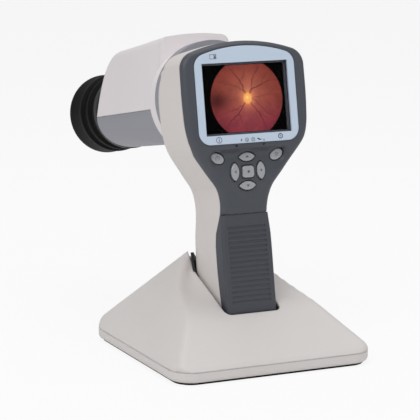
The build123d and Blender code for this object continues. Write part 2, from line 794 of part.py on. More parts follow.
# ---------------------------------------------------------------------------
# Eyecup and lenses
# ---------------------------------------------------------------------------
# Turned outlines: depth, radius
COLLAR_PROFILE = [
    (146.0, 18.0), (146.0, 20.2), (161.2, 20.2), (161.2, 22.6), (161.8, 23.2), (165.4, 23.2),
    (166.0, 22.6), (166.0, 20.3), (171.0, 20.3), (171.0, 18.0),
]
EYECUP_PROFILE = [
    (166.3, 21.6), (172.0, 21.9), (173.4, 22.9), (175.0, 22.9), (176.2, 22.0), (180.0, 22.4),
    (181.5, 23.5), (183.3, 23.5), (184.6, 22.7), (190.0, 23.2), (200.0, 24.3), (202.0, 24.2),
    (202.4, 23.4), (201.8, 22.4), (190.0, 21.0), (172.5, 20.4), (166.3, 20.4),
]


def eyecup_collar():
    return turned(COLLAR_PROFILE)


def eyecup():
    return turned(EYECUP_PROFILE)


def lens(near_face, far_face):
    """Lens about the optical axis; each face is an arc through three (depth, radius) points."""
    near_centre, far_centre = (near_face[0][0], 0), (far_face[-1][0], 0)
    with BuildPart() as piece:
        with BuildSketch(OPTIC):
            with BuildLine():
                Line(near_centre, near_face[0])
                ThreePointArc(*near_face)
                Line(near_face[-1], far_face[0])
                ThreePointArc(*far_face)
                Polyline(far_face[-1], far_centre, near_centre)
            make_face()
        revolve(axis=OPTICAL_AXIS)
    return piece.part


def objective_lens():
    return lens(near_face=((160.0, 2.0), (160.9, 10.0), (163.4, 17.9)),
                far_face=((167.4, 17.9), (169.4, 10.0), (170.2, 2.0)))


def relay_lens():
    return lens(near_face=((84.6, 1.0), (84.98, 5.0), (86.0, 9.0)),
                far_face=((88.2, 9.0), (89.2, 5.0), (89.6, 1.0)))


# ---------------------------------------------------------------------------
# Chassis of the optics module, focus drive and lamp
# ---------------------------------------------------------------------------
ROD_SPOTS = [(13.5, -9.0), (-13.5, -9.0)]   # guide rods beside and below the axis
ROD_V = ROD_SPOTS[0][1]
LEAD_V = 15.5                               # lead screw above the axis
LEAD_SPOT = [(0, LEAD_V)]
BULKHEAD_RADIUS = 18.8
SIDE_RAILS = [(18.0, -2, 2.0, 9), (-18.0, -2, 2.0, 9)]  # across, up, width, height
LAMP_DEPTH = 114.0
LAMP_CENTRE = AXIS_ORIGIN + BACK * LAMP_DEPTH
LAMP = Plane(origin=LAMP_CENTRE, x_dir=RIGHT, z_dir=UP)     # square to the optical axis
SPLITTER = Plane(origin=LAMP_CENTRE, x_dir=RIGHT, z_dir=(BACK + UP).normalized())


def optics_chassis():
    with BuildPart() as piece:
        # bulkhead next to the handset, with a raised block
        with BuildSketch(SLICE.offset(64.4)):
            Circle(BULKHEAD_RADIUS)
            rectangles([(0, 14, 24, 20)])
            Circle(10.0, mode=Mode.SUBTRACT)
        extrude(amount=3.0)
        # middle and far bulkheads
        for depth, bore, thickness in ((98.0, 10.5, 2.5), (128.0, 15.0, 3.0)):
            with BuildSketch(SLICE.offset(depth)):
                Circle(BULKHEAD_RADIUS)
                Circle(bore, mode=Mode.SUBTRACT)
            extrude(amount=thickness)
        with BuildSketch(SLICE.offset(65.0)):
            rectangles(SIDE_RAILS)
        extrude(amount=65)
        # lamp deck
        with BuildSketch(SLICE.offset(98.5)):
            rectangles([(0, 17.0, 16, 2.4)])
        extrude(amount=31)
        # tube towards the eyecup
        with BuildSketch(SLICE.offset(130.5)):
            Circle(17.6)
            Circle(15.6, mode=Mode.SUBTRACT)
        extrude(amount=29)
        # lamp chimney and its bore
        with BuildSketch(LAMP.offset(15.9)):
            Circle(10.2)
        extrude(amount=10.4)
        with BuildSketch(LAMP.offset(12)):
            Circle(8.1)
        extrude(amount=20, mode=Mode.SUBTRACT)
        # bearing holes of the lead screw
        with BuildSketch(SLICE.offset(60)):
            discs(LEAD_SPOT, 1.55)
        extrude(amount=50, mode=Mode.SUBTRACT)
    return piece.part


def guide_rods():
    with BuildPart() as piece:
        with BuildSketch(SLICE.offset(67.45)):
            discs(ROD_SPOTS, 1.25)
        extrude(amount=30.5)
    return piece.part


def focus_motor():
    """Rounded block bored for the lead screw."""
    with BuildPart() as piece:
        with BuildSketch(SLICE.offset(67.5)):
            with Locations((0, LEAD_V + 3.5)):
                RectangleRounded(10, 9.6, 2.2)
        extrude(amount=10)
        with BuildSketch(SLICE.offset(66)):
            discs(LEAD_SPOT, 1.56)
        extrude(amount=20, mode=Mode.SUBTRACT)
    return piece.part


def focus_screw():
    with BuildPart() as piece:
        with BuildSketch(SLICE.offset(64.6)):
            discs(LEAD_SPOT, 1.5)
        extrude(amount=35.6)
    return piece.part


def focus_carriage():
    """Lens holder riding on the guide rods and the lead screw."""
    with BuildPart() as piece:
        with BuildSketch(SLICE.offset(84.0)):
            Circle(12.4)
            with Locations((0, ROD_V)):
                RectangleRounded(32.6, 6.2, 2.5)
            with Locations((0, 13.0)):
                RectangleRounded(8.0, 10.0, 2.0)
            Circle(9.05, mode=Mode.SUBTRACT)
            discs(ROD_SPOTS, 1.3, mode=Mode.SUBTRACT)
            discs(LEAD_SPOT, 1.55, mode=Mode.SUBTRACT)
        extrude(amount=6.0)
    return piece.part


def beam_splitter():
    """Tilted plate with edge rails against the side rails of the chassis."""
    with BuildPart() as piece:
        with BuildSketch(SPLITTER):
            RectangleRounded(30, 27, 1.5)
        extrude(amount=0.6, both=True)
        with BuildSketch(SPLITTER):
            rectangles([(15.6, 0, 2.0, 8), (-15.6, 0, 2.0, 8)])
        extrude(amount=1.4, both=True)
    return piece.part


def condenser_lens():
    with BuildPart() as piece:
        with BuildSketch(LAMP.offset(18.5)):
            Circle(8.0)
        extrude(amount=3.4)
        chamfer(piece.edges(), 0.8)
    return piece.part


def illumination_led():
    """Plate with a round emitter below and four fins above."""
    with BuildPart() as piece:
        with BuildSketch(LAMP.offset(26.5)):
            RectangleRounded(20, 22, 2)
        extrude(amount=1.6)
        with BuildSketch(LAMP.offset(24.0)):
            Circle(3.2)
        extrude(amount=2.6)
        with BuildSketch(LAMP.offset(28.0)):
            with GridLocations(4.0, 1, 4, 1):
                Rectangle(1.4, 18)
        extrude(amount=3.0)
    return piece.part


# ---------------------------------------------------------------------------
# Charging stand: shared shapes
# ---------------------------------------------------------------------------
ROOF_REACH = BASE_SIZE / 2 + 2  # roof outlines run past the foot
ROOF_FLOOR = -5
RIDGE_HALF, RIDGE_Z = 17.0, 55.3
SIDE_EAVE_Z, FRONT_EAVE_Z, BACK_EAVE_Z = 5.8, 6.625, 5.57   # roof heights at ROOF_REACH
SIDE_DROP, FRONT_DROP, BACK_DROP = 1.49, 1.21, 1.57         # fall of a slope per inset
# Concave shoulder in front of the pocket: y, z, fall per inset
SHOULDER = [(-28, 30, FRONT_DROP), (-12, 34.6, 1.2), (2, 39.6, 1.2), (14, 47.0, 1.2),
            (20.8, 55.6, 1.4)]
POCKET_FRONT, POCKET_BACK, POCKET_CORNER = 12.3, 61.4, 14.5     # depths and back rounding
LINER_OUTSIDE = DOCK_CLEAR + LINER_WALL
STAND_SCREWS = [(x, y) for y in (-46, 46) for x in (-46, 46)]


def roof_along(inset):
    """Side view of the stand, run across it."""
    shoulder = [(y, z - inset * drop) for y, z, drop in SHOULDER]
    with BuildPart() as piece:
        with BuildSketch(Plane.YZ):
            with BuildLine():
                Polyline((-ROOF_REACH, ROOF_FLOOR),
                         (-ROOF_REACH, FRONT_EAVE_Z - inset * FRONT_DROP), shoulder[0])
                Spline(*shoulder, tangents=((1, 0.24), (0.5, 1)))
                Polyline(shoulder[-1], (ROOF_REACH, BACK_EAVE_Z - inset * BACK_DROP),
                         (ROOF_REACH, ROOF_FLOOR), (-ROOF_REACH, ROOF_FLOOR))
            make_face()
        extrude(amount=80, both=True)
    return piece.part


def stand_body(inset, z_low):
    """Hipped body with sloping sides, front and back."""
    eave, ridge = SIDE_EAVE_Z - inset * SIDE_DROP, RIDGE_Z - inset * SIDE_DROP
    across = [(-ROOF_REACH, ROOF_FLOOR), (-ROOF_REACH, eave), (-RIDGE_HALF, ridge),
              (RIDGE_HALF, ridge), (ROOF_REACH, eave), (ROOF_REACH, ROOF_FLOOR)]
    size = BASE_SIZE - 2 * inset
    with BuildPart() as body:
        with BuildSketch(Plane.XY.offset(z_low)):
            RectangleRounded(size, size, BASE_CORNER - inset)
        extrude(amount=60)
        add(prism(across, Plane.XZ), mode=Mode.INTERSECT)
        add(roof_along(inset), mode=Mode.INTERSECT)
    return body.part


def pocket(grow, v_low, v_high):
    """Prism along the handle: the handle section grown all round."""
    with BuildPart() as piece:
        with BuildSketch(CROSS.offset(v_low)) as section:
            with BuildLine():
                round_backed_outline(HANDLE_HALF + grow, POCKET_FRONT - grow,
                                     POCKET_BACK + grow, POCKET_CORNER + grow)
            make_face()
            fillet(section.vertices().sort_by(Axis.Y)[:2], 1.6 + grow)
        extrude(amount=v_high - v_low)
    return piece.part


# ---------------------------------------------------------------------------
# Charging stand: upper pieces
# ---------------------------------------------------------------------------
STAND_WALL = 2.4
COLLAR_WALL = 2.2               # collar of the cover round the dock well
COVER_Z = SEAM_Z + 0.15         # lower edge of the cover


def stand_cover():
    outside = stand_body(0.0, COVER_Z)
    inside = stand_body(STAND_WALL, SEAM_Z + 0.10)
    with BuildPart() as piece:
        add(outside)
        add(inside, mode=Mode.SUBTRACT)
        # solid collar round the pocket, trimmed to the outside
        add(pocket(LINER_OUTSIDE + COLLAR_WALL, -123, -50))
        add(outside, mode=Mode.INTERSECT)
        # screw posts, trimmed to the outside
        with BuildSketch(Plane.XY.offset(COVER_Z)):
            discs(STAND_SCREWS, 3.6)
        extrude(amount=24.0)
        add(outside, mode=Mode.INTERSECT)
        with BuildSketch(Plane.XY.offset(SEAM_Z)):
            discs(STAND_SCREWS, 1.55)
        extrude(amount=4.6, mode=Mode.SUBTRACT)
        add(pocket(LINER_OUTSIDE + 0.1, -126, -40), mode=Mode.SUBTRACT)
    return piece.part


def dock_well():
    """Liner of the pocket with pin holes in its floor."""
    with BuildPart() as piece:
        add(pocket(LINER_OUTSIDE, -125, -50))
        add(stand_body(1.2, 5.0), mode=Mode.INTERSECT)
        add(pocket(DOCK_CLEAR, HANDLE_FOOT - 0.6, -40), mode=Mode.SUBTRACT)
        with BuildSketch(CROSS.offset(-130)):
            discs(CONTACT_SPOTS, 1.1)
        extrude(amount=12, mode=Mode.SUBTRACT)
    return piece.part


def dock_contact_block():
    with BuildPart() as piece:
        with BuildSketch(CROSS.offset(-131)):
            with Locations((0, CONTACT_DEPTH)):
                RectangleRounded(22, 9, 1.5)
            discs(CONTACT_SPOTS, 0.87, mode=Mode.SUBTRACT)
        extrude(amount=5.9)
    return piece.part


def dock_spring_pins():
    with BuildPart() as piece:
        with BuildSketch(CROSS.offset(-130)):
            discs(CONTACT_SPOTS, 0.8)
        extrude(amount=8.35)
    return piece.part


# ---------------------------------------------------------------------------
# Charging stand: base
# ---------------------------------------------------------------------------
TRAY_Z = 1.2                    # underside of the tray
TRAY_FLOOR = 3.2
TRAY_WALL = 2.5
POST_Z = 3.1                    # posts start just inside the floor
PAD_INSET = 2.7
DOCK_POSTS = [(-21, 6), (21, 6), (-21, 34), (21, 34)]
DOCK_CHIPS = [(-15, 10, 8, 8), (16, 28, 6, 10)]     # x, y, width, length
JACK_Z = 5.1

# Round features of the tray: z, spots, radius, height
TRAY_ROUNDS = [
    (POST_Z, STAND_SCREWS, 4.0, SEAM_Z - POST_Z, Mode.ADD),     # screw posts
    (POST_Z, DOCK_POSTS, 2.2, 1.2, Mode.ADD),                   # posts under the dock board
    (1.0, STAND_SCREWS, 3.1, 2.1, Mode.SUBTRACT),               # counterbores from below
    (1.0, STAND_SCREWS, 1.7, 8, Mode.SUBTRACT),                 # clearance bores
]


def stand_base_tray():
    cavity = BASE_SIZE - 2 * TRAY_WALL
    with BuildPart() as piece:
        with BuildSketch(Plane.XY.offset(TRAY_Z)):
            RectangleRounded(BASE_SIZE, BASE_SIZE, BASE_CORNER)
        extrude(amount=SEAM_Z - TRAY_Z)
        fillet(piece.faces().sort_by(Axis.Z)[0].edges(), 2.6)
        with BuildSketch(Plane.XY.offset(TRAY_FLOOR)):
            RectangleRounded(cavity, cavity, BASE_CORNER - TRAY_WALL)
        extrude(amount=5, mode=Mode.SUBTRACT)
        for z, spots, radius, height, mode in TRAY_ROUNDS:
            with BuildSketch(Plane.XY.offset(z)):
                discs(spots, radius)
            extrude(amount=height, mode=mode)
        # inlet opening in the back wall
        with BuildSketch(Plane.XY.offset(3.3)):
            rectangles([(0, 57, 9.5, 8)])
        extrude(amount=3.6, mode=Mode.SUBTRACT)
    return piece.part


def stand_screws():
    return socket_screws(Plane.XY, STAND_SCREWS, head=(1.35, 2.8, 1.7), shank=(2.6, 1.45, 8.6),
                         socket=(1.35, 1.3, 0.9))


def stand_foot_pad():
    size = BASE_SIZE - 2 * PAD_INSET
    with BuildPart() as piece:
        with BuildSketch():
            RectangleRounded(size, size, BASE_CORNER - PAD_INSET)
        extrude(amount=1.15)
        chamfer(piece.faces().sort_by(Axis.Z)[0].edges(), 0.25)
    return piece.part


def stand_ballast():
    """Plate in the front half of the tray."""
    with BuildPart() as piece:
        with BuildSketch(Plane.XY.offset(3.3)):
            with Locations((0, -30)):
                RectangleRounded(78, 34, 3)
        extrude(amount=5.5)
        chamfer(piece.faces().sort_by(Axis.Z)[-1].edges(), 0.6)
    return piece.part


def dock_board():
    with BuildPart() as piece:
        with BuildSketch(Plane.XY.offset(4.4)):
            with Locations((0, 20)):
                RectangleRounded(48, 34, 2)
        extrude(amount=BOARD)
        with BuildSketch(Plane.XY.offset(5.9)):
            rectangles(DOCK_CHIPS)
        extrude(amount=1.7)
    return piece.part


def dock_power_jack():
    """Socket open to the back, with a flat tongue inside."""
    with BuildPart() as piece:
        with BuildSketch(Plane(origin=(0, 59.4, JACK_Z), x_dir=(1, 0, 0), z_dir=(0, -1, 0))):
            RectangleRounded(9.0, 3.3, 1.2)
        extrude(amount=8)
        with BuildSketch(Plane(origin=(0, 59.5, JACK_Z), x_dir=(1, 0, 0), z_dir=(0, -1, 0))):
            RectangleRounded(8.2, 2.5, 1.0)
            Rectangle(5.6, 0.8, mode=Mode.SUBTRACT)
        extrude(amount=6, mode=Mode.SUBTRACT)
    return piece.part


# ---------------------------------------------------------------------------
# Build and save; each piece is named after its function
# ---------------------------------------------------------------------------
PIECES = [
    front_fascia, display_bezel, display_window, display_gasket, display_panel,
    main_board, sensor_board, image_sensor, keypad_membrane, keypad_board,
    handset_shell, handset_screws, shutter_trigger,
    grip_cover, handle_end_cap, handset_contacts, battery_pack,
    mount_ring, rear_window, bayonet_flange,
    optics_upper_cover, optics_lower_cover,
    eyecup_collar, eyecup, objective_lens, relay_lens,
    optics_chassis, guide_rods, focus_motor, focus_screw, focus_carriage,
    beam_splitter, condenser_lens, illumination_led,
    stand_cover, dock_well, dock_contact_block, dock_spring_pins,
    stand_base_tray, stand_screws, stand_foot_pad, stand_ballast, dock_board, dock_power_jack,
]

for key_name in KEYS:
    save(key(key_name), key_name)
for build_piece in PIECES:
    save(build_piece(), build_piece.__name__)
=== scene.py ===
"""Handset with a screen and an eyecup, standing in the pocket of its square stand.

World frame: metres, +X right, +Y back, +Z up; the stand is centred on the Z axis.
Handset frame: millimetres, x right, y up the leaning handset, z out of the screen.
The CAD pieces get finishes; the stand cover, eyecup and front fascia get detailed skins.
"""
import bpy
import bmesh
import json
import math
import random
from mathutils import Matrix, Vector


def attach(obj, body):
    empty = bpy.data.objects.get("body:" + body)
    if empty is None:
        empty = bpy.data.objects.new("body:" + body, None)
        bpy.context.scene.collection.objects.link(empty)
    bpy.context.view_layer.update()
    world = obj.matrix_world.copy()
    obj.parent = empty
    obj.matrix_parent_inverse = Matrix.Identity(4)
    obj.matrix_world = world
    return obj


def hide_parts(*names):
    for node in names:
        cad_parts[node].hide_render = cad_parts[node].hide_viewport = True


random.seed(7)
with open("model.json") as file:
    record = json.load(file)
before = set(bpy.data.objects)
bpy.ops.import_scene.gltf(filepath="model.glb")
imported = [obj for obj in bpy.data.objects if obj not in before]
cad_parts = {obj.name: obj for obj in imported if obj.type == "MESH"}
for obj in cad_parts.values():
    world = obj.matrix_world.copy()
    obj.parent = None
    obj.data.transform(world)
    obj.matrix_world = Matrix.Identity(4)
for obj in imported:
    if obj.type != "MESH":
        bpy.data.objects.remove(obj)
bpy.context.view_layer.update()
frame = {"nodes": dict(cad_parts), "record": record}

# ---------------------------------------------------------------- handset frame
LEAN = math.radians(11.014)
SIN, COS = math.sin(LEAN), math.cos(LEAN)
ORIGIN_Y, ORIGIN_Z = -17.0, 146.0  # mm, where the handset frame starts
ORIGIN = Vector((0, ORIGIN_Y, ORIGIN_Z))
UP_HANDSET, OUT_OF_SCREEN = Vector((0, SIN, COS)), Vector((0, -COS, SIN))


def handset_point(x, y, z):
    """Handset-frame point (mm) as a world vector (m)."""
    return (ORIGIN + Vector((x, 0, 0)) + UP_HANDSET * y + OUT_OF_SCREEN * z) / 1000.0


def handle_yz(along, depth):
    """World y, z (mm) of a point `along` the handset and `depth` behind its screen."""
    return ORIGIN_Y + SIN * along + COS * depth, ORIGIN_Z + COS * along - SIN * depth


# ---------------------------------------------------------------- curves
def clamp(value, low=0.0, high=1.0):
    return max(low, min(high, value))


def smoothstep(start, end, x):
    t = clamp((x - start) / (end - start))
    return t * t * (3 - 2 * t)


def smooth_min(first, second, blend):
    h = clamp(0.5 + 0.5 * (second - first) / blend)
    return second * (1 - h) + first * h - blend * h * (1 - h)


def linear(table, x):
    """Straight-line lookup in a table of (x, value)."""
    if x <= table[0][0]:
        return table[0][1]
    for (x0, value0), (x1, value1) in zip(table, table[1:]):
        if x <= x1:
            t = (x - x0) / (x1 - x0)
            return value0 + (value1 - value0) * t
    return table[-1][1]


def hermite(table, x):
    """Smooth curve through a table of (x, value), level outside it."""
    last = len(table) - 1
    if x <= table[0][0]:
        return table[0][1]
    if x >= table[last][0]:
        return table[last][1]
    i = next(k for k in range(last) if x <= table[k + 1][0])
    before_x, before = table[max(i - 1, 0)]
    x0, value0 = table[i]
    x1, value1 = table[i + 1]
    after_x, after = table[min(i + 2, last)]
    slope0 = (value1 - before) / (x1 - before_x)
    slope1 = (after - value0) / (after_x - x0)
    span = x1 - x0
    t = (x - x0) / span
    return ((2 * t**3 - 3 * t**2 + 1) * value0 + (t**3 - 2 * t**2 + t) * span * slope0
            + (-2 * t**3 + 3 * t**2) * value1 + (t**3 - t**2) * span * slope1)


def catmull_rom(points, steps, closed):
    """Smooth 2D line through the points, with `steps` points to each span."""
    count = len(points)

    def at(k):
        return points[k % count if closed else clamp(k, 0, count - 1)]

    out = []
    for i in range(count if closed else count - 1):
        corners = at(i - 1), at(i), at(i + 1), at(i + 2)
        for j in range(steps):
            t = j / steps
            out.append(tuple(
                0.5 * (2 * b + (c - a) * t + (2 * a - 5 * b + 4 * c - d) * t * t
                       + (3 * b - a - 3 * c + d) * t**3)
                for a, b, c, d in zip(*corners)))
    return out if closed else out + [points[-1]]


def arc(center_x, center_y, radius, start, end, steps, first=0):
    """Arc points from `start` to `end` degrees, leaving out those before `first`."""
    angles = [math.radians(start + (end - start) * i / steps) for i in range(first, steps + 1)]
    return [(center_x + radius * math.cos(a), center_y + radius * math.sin(a)) for a in angles]


def mirrored(points):
    """The same points on the left side, in reverse order."""
    return [(-x, y) for x, y in reversed(points)]


def crowned_corner(half_width, corner_radius, crown_radius, crown_y, corner_steps, crown_steps):
    """Right corner between a straight side and a shallow crown, then the crown to its middle."""
    x = half_width - corner_radius
    rise = math.sqrt((crown_radius - corner_radius) ** 2 - x ** 2)
    y = crown_y + rise
    meet = math.degrees(math.atan2(y - crown_y, x))
    return (arc(x, y, corner_radius, 0, meet, corner_steps)
            + arc(0, crown_y, crown_radius, meet, 90, crown_steps, first=1))


# ---------------------------------------------------------------- meshes
def shade_smooth(mesh):
    for polygon in mesh.polygons:
        polygon.use_smooth = True


def add_piece(name, verts, faces, body, replaces=(), smooth=True):
    mesh = bpy.data.meshes.new(name)
    mesh.from_pydata([tuple(v) for v in verts], [], faces)
    mesh.validate()
    mesh.update()
    piece = bpy.data.objects.new(name, mesh)
    bpy.context.scene.collection.objects.link(piece)
    if smooth:
        shade_smooth(mesh)
    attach(piece, body)
    if replaces:
        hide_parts(*replaces)
    return piece


def ring_faces(rows, count, closed=False):
    """Quads between rows of `count` points, each row a closed ring."""
    faces = []
    for row in range(rows if closed else rows - 1):
        a, b = row * count, (row + 1) % rows * count
        for i in range(count):
            j = (i + 1) % count
            faces.append((a + i, a + j, b + j, b + i))
    return faces


def face_outward(mesh, merge=None):
    """Turn all normals outward, first merging points closer than `merge`."""
    bm = bmesh.new()
    bm.from_mesh(mesh)
    if merge:
        bmesh.ops.remove_doubles(bm, verts=bm.verts, dist=merge)
    bmesh.ops.recalc_face_normals(bm, faces=bm.faces)
    bm.to_mesh(mesh)
    bm.free()


def tidy(piece):
    face_outward(piece.data, merge=1e-7)
    shade_smooth(piece.data)


def split_edges(piece, degrees):
    """Keep edges sharper than `degrees` crisp under smooth shading."""
    split = piece.modifiers.new("edges", "EDGE_SPLIT")
    split.split_angle = math.radians(degrees)


# ---------------------------------------------------------------- material tools
BLACK = (0.0, 0.0, 0.0, 1)
MATERIALS = {}


def srgb(*channels):
    """Display colour (0-255) as linear RGBA."""
    shares = [c / 255 for c in channels]
    return (*((s / 12.92) if s <= 0.04045 else ((s + 0.055) / 1.055) ** 2.4 for s in shares), 1.0)


def new_material(name):
    """Register a node material and return its tree."""
    material = bpy.data.materials.new(name)
    material.use_nodes = True
    MATERIALS[name] = material
    return material.node_tree


def put(piece, name):
    piece.data.materials.clear()
    piece.data.materials.append(MATERIALS[name])


def set_inputs(tree, node, inputs):
    """Link the inputs that are given a socket and set the others."""
    for key, value in inputs.items():
        if isinstance(value, bpy.types.NodeSocket):
            tree.links.new(value, node.inputs[key])
        else:
            node.inputs[key].default_value = value


def add_node(tree, kind, inputs=None, **settings):
    node = tree.nodes.new("ShaderNode" + kind)
    for key, value in settings.items():
        setattr(node, key, value)
    set_inputs(tree, node, inputs or {})
    return node


def add_ramp(tree, factor, *stops):
    """Colour ramp with two (position, colour) stops."""
    ramp = add_node(tree, "ValToRGB", {"Fac": factor})
    for element, (position, color) in zip(ramp.color_ramp.elements, stops):
        element.position = position
        element.color = color
    return ramp.outputs["Color"]


def moulded(name, color, rough, metal=0.0, vary=0.04, grain=0.08, bevel=0.0,
            coat=0.0, scratch=0.0, spec=0.5):
    """Finish with blotchy colour and roughness.

    vary: share by which the colour wanders; grain: bump strength; bevel: edge radius (m);
    scratch: strength of the paler scuffs.
    """
    tree = new_material(name)
    place = add_node(tree, "TexCoord").outputs["Object"]
    blotch = add_node(tree, "TexNoise", {"Scale": 22.0, "Detail": 5.0, "Vector": place})
    blotch = blotch.outputs["Fac"]
    base = add_ramp(tree, blotch,
                    (0.3, [c * (1 - vary) for c in color[:3]] + [1]),
                    (0.7, [min(1, c * (1 + vary)) for c in color[:3]] + [1]))
    if scratch > 0:
        scuff = add_node(tree, "TexNoise", {"Scale": 160.0, "Detail": 8.0, "Distortion": 1.5,
                                            "Vector": place})
        amount = add_ramp(tree, scuff.outputs["Fac"],
                          (0.60, BLACK), (0.78, (scratch, scratch, scratch, 1)))
        paler = [min(1, c * 1.25 + 0.03) for c in color[:3]] + [1]
        base = add_node(tree, "Mix", {"Factor": amount, "A": base, "B": paler},
                        data_type="RGBA").outputs["Result"]
    roughness = add_node(tree, "MapRange", {"To Min": max(0.02, rough - 0.06),
                                            "To Max": min(1.0, rough + 0.06),
                                            "Value": blotch})
    shader = tree.nodes["Principled BSDF"]
    set_inputs(tree, shader, {
        "Base Color": base, "Roughness": roughness.outputs["Result"], "Metallic": metal,
        "Coat Weight": coat, "Coat Roughness": 0.15, "Specular IOR Level": spec})
    normal = None
    if bevel > 0:
        normal = add_node(tree, "Bevel", {"Radius": bevel}, samples=6).outputs["Normal"]
    if grain > 0:
        fine = add_node(tree, "TexNoise", {"Scale": 900.0, "Detail": 3.0, "Vector": place})
        bump = add_node(tree, "Bump", {"Strength": grain, "Distance": 0.0002,
                                       "Height": fine.outputs["Fac"]})
        if normal is not None:
            set_inputs(tree, bump, {"Normal": normal})
        normal = bump.outputs["Normal"]
    if normal is not None:
        set_inputs(tree, shader, {"Normal": normal})


def glass(name, tint, face_on, edge_on):
    """Thin clear pane; face_on and edge_on are its share of sharp reflection."""
    tree = new_material(name)
    tree.nodes.remove(tree.nodes["Principled BSDF"])
    clear = add_node(tree, "BsdfTransparent", {"Color": tint})
    gloss = add_node(tree, "BsdfGlossy", {"Roughness": 0.05})
    facing = add_node(tree, "LayerWeight", {"Blend": 0.25})
    share = add_node(tree, "MapRange", {"To Min": face_on, "To Max": edge_on,
                                        "Value": facing.outputs["Facing"]})
    mix = add_node(tree, "MixShader", {"Fac": share.outputs["Result"],
                                       1: clear.outputs["BSDF"], 2: gloss.outputs["BSDF"]})
    set_inputs(tree, tree.nodes["Material Output"], {"Surface": mix.outputs["Shader"]})


def display(name, rough, strength, layer=None):
    """Black surface that glows with the colour attribute `layer`, or with black."""
    tree = new_material(name)
    glow = BLACK
    if layer:
        glow = add_node(tree, "VertexColor", layer_name=layer).outputs["Color"]
    set_inputs(tree, tree.nodes["Principled BSDF"], {
        "Base Color": BLACK, "Roughness": rough, "Specular IOR Level": 0.0,
        "Emission Color": glow, "Emission Strength": strength})


# ---------------------------------------------------------------- materials
moulded("shell_grey", srgb(226, 220, 217), rough=0.42, bevel=0.0012, grain=0.12, vary=0.02)
moulded("cover_white", srgb(240, 234, 236), rough=0.40, bevel=0.0012, grain=0.12, vary=0.015)
moulded("stand_grey", srgb(226, 221, 219), rough=0.48, bevel=0.001, grain=0.16, vary=0.02)
moulded("fascia_grey", srgb(74, 78, 86), rough=0.42, bevel=0.0012, grain=0.2, scratch=0.08)
moulded("grip_grey", srgb(72, 75, 83), rough=0.55, bevel=0.0005, grain=0.32, vary=0.05,
        scratch=0.10)
moulded("module_grey", srgb(150, 150, 160), rough=0.42, bevel=0.0008, grain=0.16, vary=0.03)
moulded("bezel_blue", srgb(205, 221, 240), rough=0.22, bevel=0.0003, grain=0.0, vary=0.01,
        coat=0.4)
moulded("frame_dark", srgb(84, 84, 90), rough=0.4)
moulded("key_silver", srgb(176, 178, 182), rough=0.28, metal=0.25, bevel=0.0005, vary=0.06,
        coat=0.3)
moulded("board_green", (0.02, 0.16, 0.07, 1), rough=0.45, vary=0.15, bevel=0.0002)
moulded("silicone", (0.3, 0.3, 0.32, 1), rough=0.7, bevel=0.0003)
moulded("sensor_black", (0.03, 0.03, 0.05, 1), rough=0.15, bevel=0.0002)
moulded("battery_blue", (0.05, 0.12, 0.35, 1), rough=0.35, bevel=0.0005)
moulded("contact_gold", (0.83, 0.62, 0.25, 1), rough=0.25, metal=1.0, bevel=0.0002)
moulded("black_plastic", (0.018, 0.018, 0.02, 1), rough=0.5, bevel=0.0006, vary=0.1)
moulded("black_metal", (0.02, 0.02, 0.023, 1), rough=0.36, metal=0.6, bevel=0.0005, vary=0.1,
        scratch=0.2)
moulded("black_rubber", (0.0025, 0.0025, 0.003, 1), rough=0.5, bevel=0.0006, vary=0.15,
        grain=0.2, spec=0.12)
moulded("steel", (0.55, 0.56, 0.57, 1), rough=0.3, metal=1.0, bevel=0.0002)
moulded("ballast_steel", (0.18, 0.18, 0.19, 1), rough=0.6, metal=0.4, bevel=0.0005, vary=0.15)
glass("lens_glass", (0.82, 0.88, 0.95, 1), face_on=0.105, edge_on=1.0)
glass("window_clear", (0.97, 0.98, 0.99, 1), face_on=0.0015, edge_on=0.015)
display("screen", rough=0.35, strength=0.0)
moulded("ink", srgb(38, 40, 50), rough=0.5, vary=0.02)
moulded("mark", srgb(92, 88, 92), rough=0.5, vary=0.02)

# CAD pieces whose finish differs from their slot's.
FINISH = {"bayonet_flange": "cover_white", "mount_ring": "module_grey",
          "eyecup_collar": "black_plastic"}


def finish_cad_pieces():
    slots = {part["node"]: part["material_slot"] for part in frame["record"]["subparts"]}
    for name, piece in frame["nodes"].items():
        put(piece, FINISH.get(name, slots[name]))
        shade_smooth(piece.data)
        split_edges(piece, 28)


finish_cad_pieces()

# ---------------------------------------------------------------- stand cover (world mm)
STAND_HALF = 60.0
STAND_CORNER = 13.0
STAND_BASE_Z = 8.0
# Slopes of the cover, rising inward from each edge.
SIDE_SLOPE, FRONT_SLOPE, BACK_SLOPE = 1.1, 0.6875, 1.215
# Height of the ridge either side of the pocket: (y, z).
RIDGE = [(-28, 30.0), (-12, 34.6), (2, 39.6), (10, 44.0), (16, 49.4), (21.0, 56.5)]
RIDGE_FRONT_SLOPE = 0.26  # ahead of the first station
# Distance of the ridge from the middle: (y, x).
RIDGE_X = [(-28, 40.0), (2, 31.0), (21, 17.5), (30, 17.5)]
SADDLE_FRONT_Y = -40  # no ridge or pocket ahead of this
VALLEY_X, VALLEY_SAG = 15.5, 2.6
EDGE_ROUND, EDGE_DROP = 2.2, 1.3
COVER_CENTER_Y = 2.0
# Handle pocket across the handle: x to the right, depth behind the screen.
POCKET_GAP = 1.7
POCKET_HALF = 15.3 + POCKET_GAP
POCKET_FRONT = 12.3 - POCKET_GAP
POCKET_BACK = 61.4 + POCKET_GAP
POCKET_FRONT_RADIUS = 2.0 + POCKET_GAP
POCKET_BACK_RADIUS = 14.5 + POCKET_GAP
WALL_DROPS = (12.0, 6.0, 2.0, 0.7)  # rings down the pocket wall
LIP_DROP = 0.25
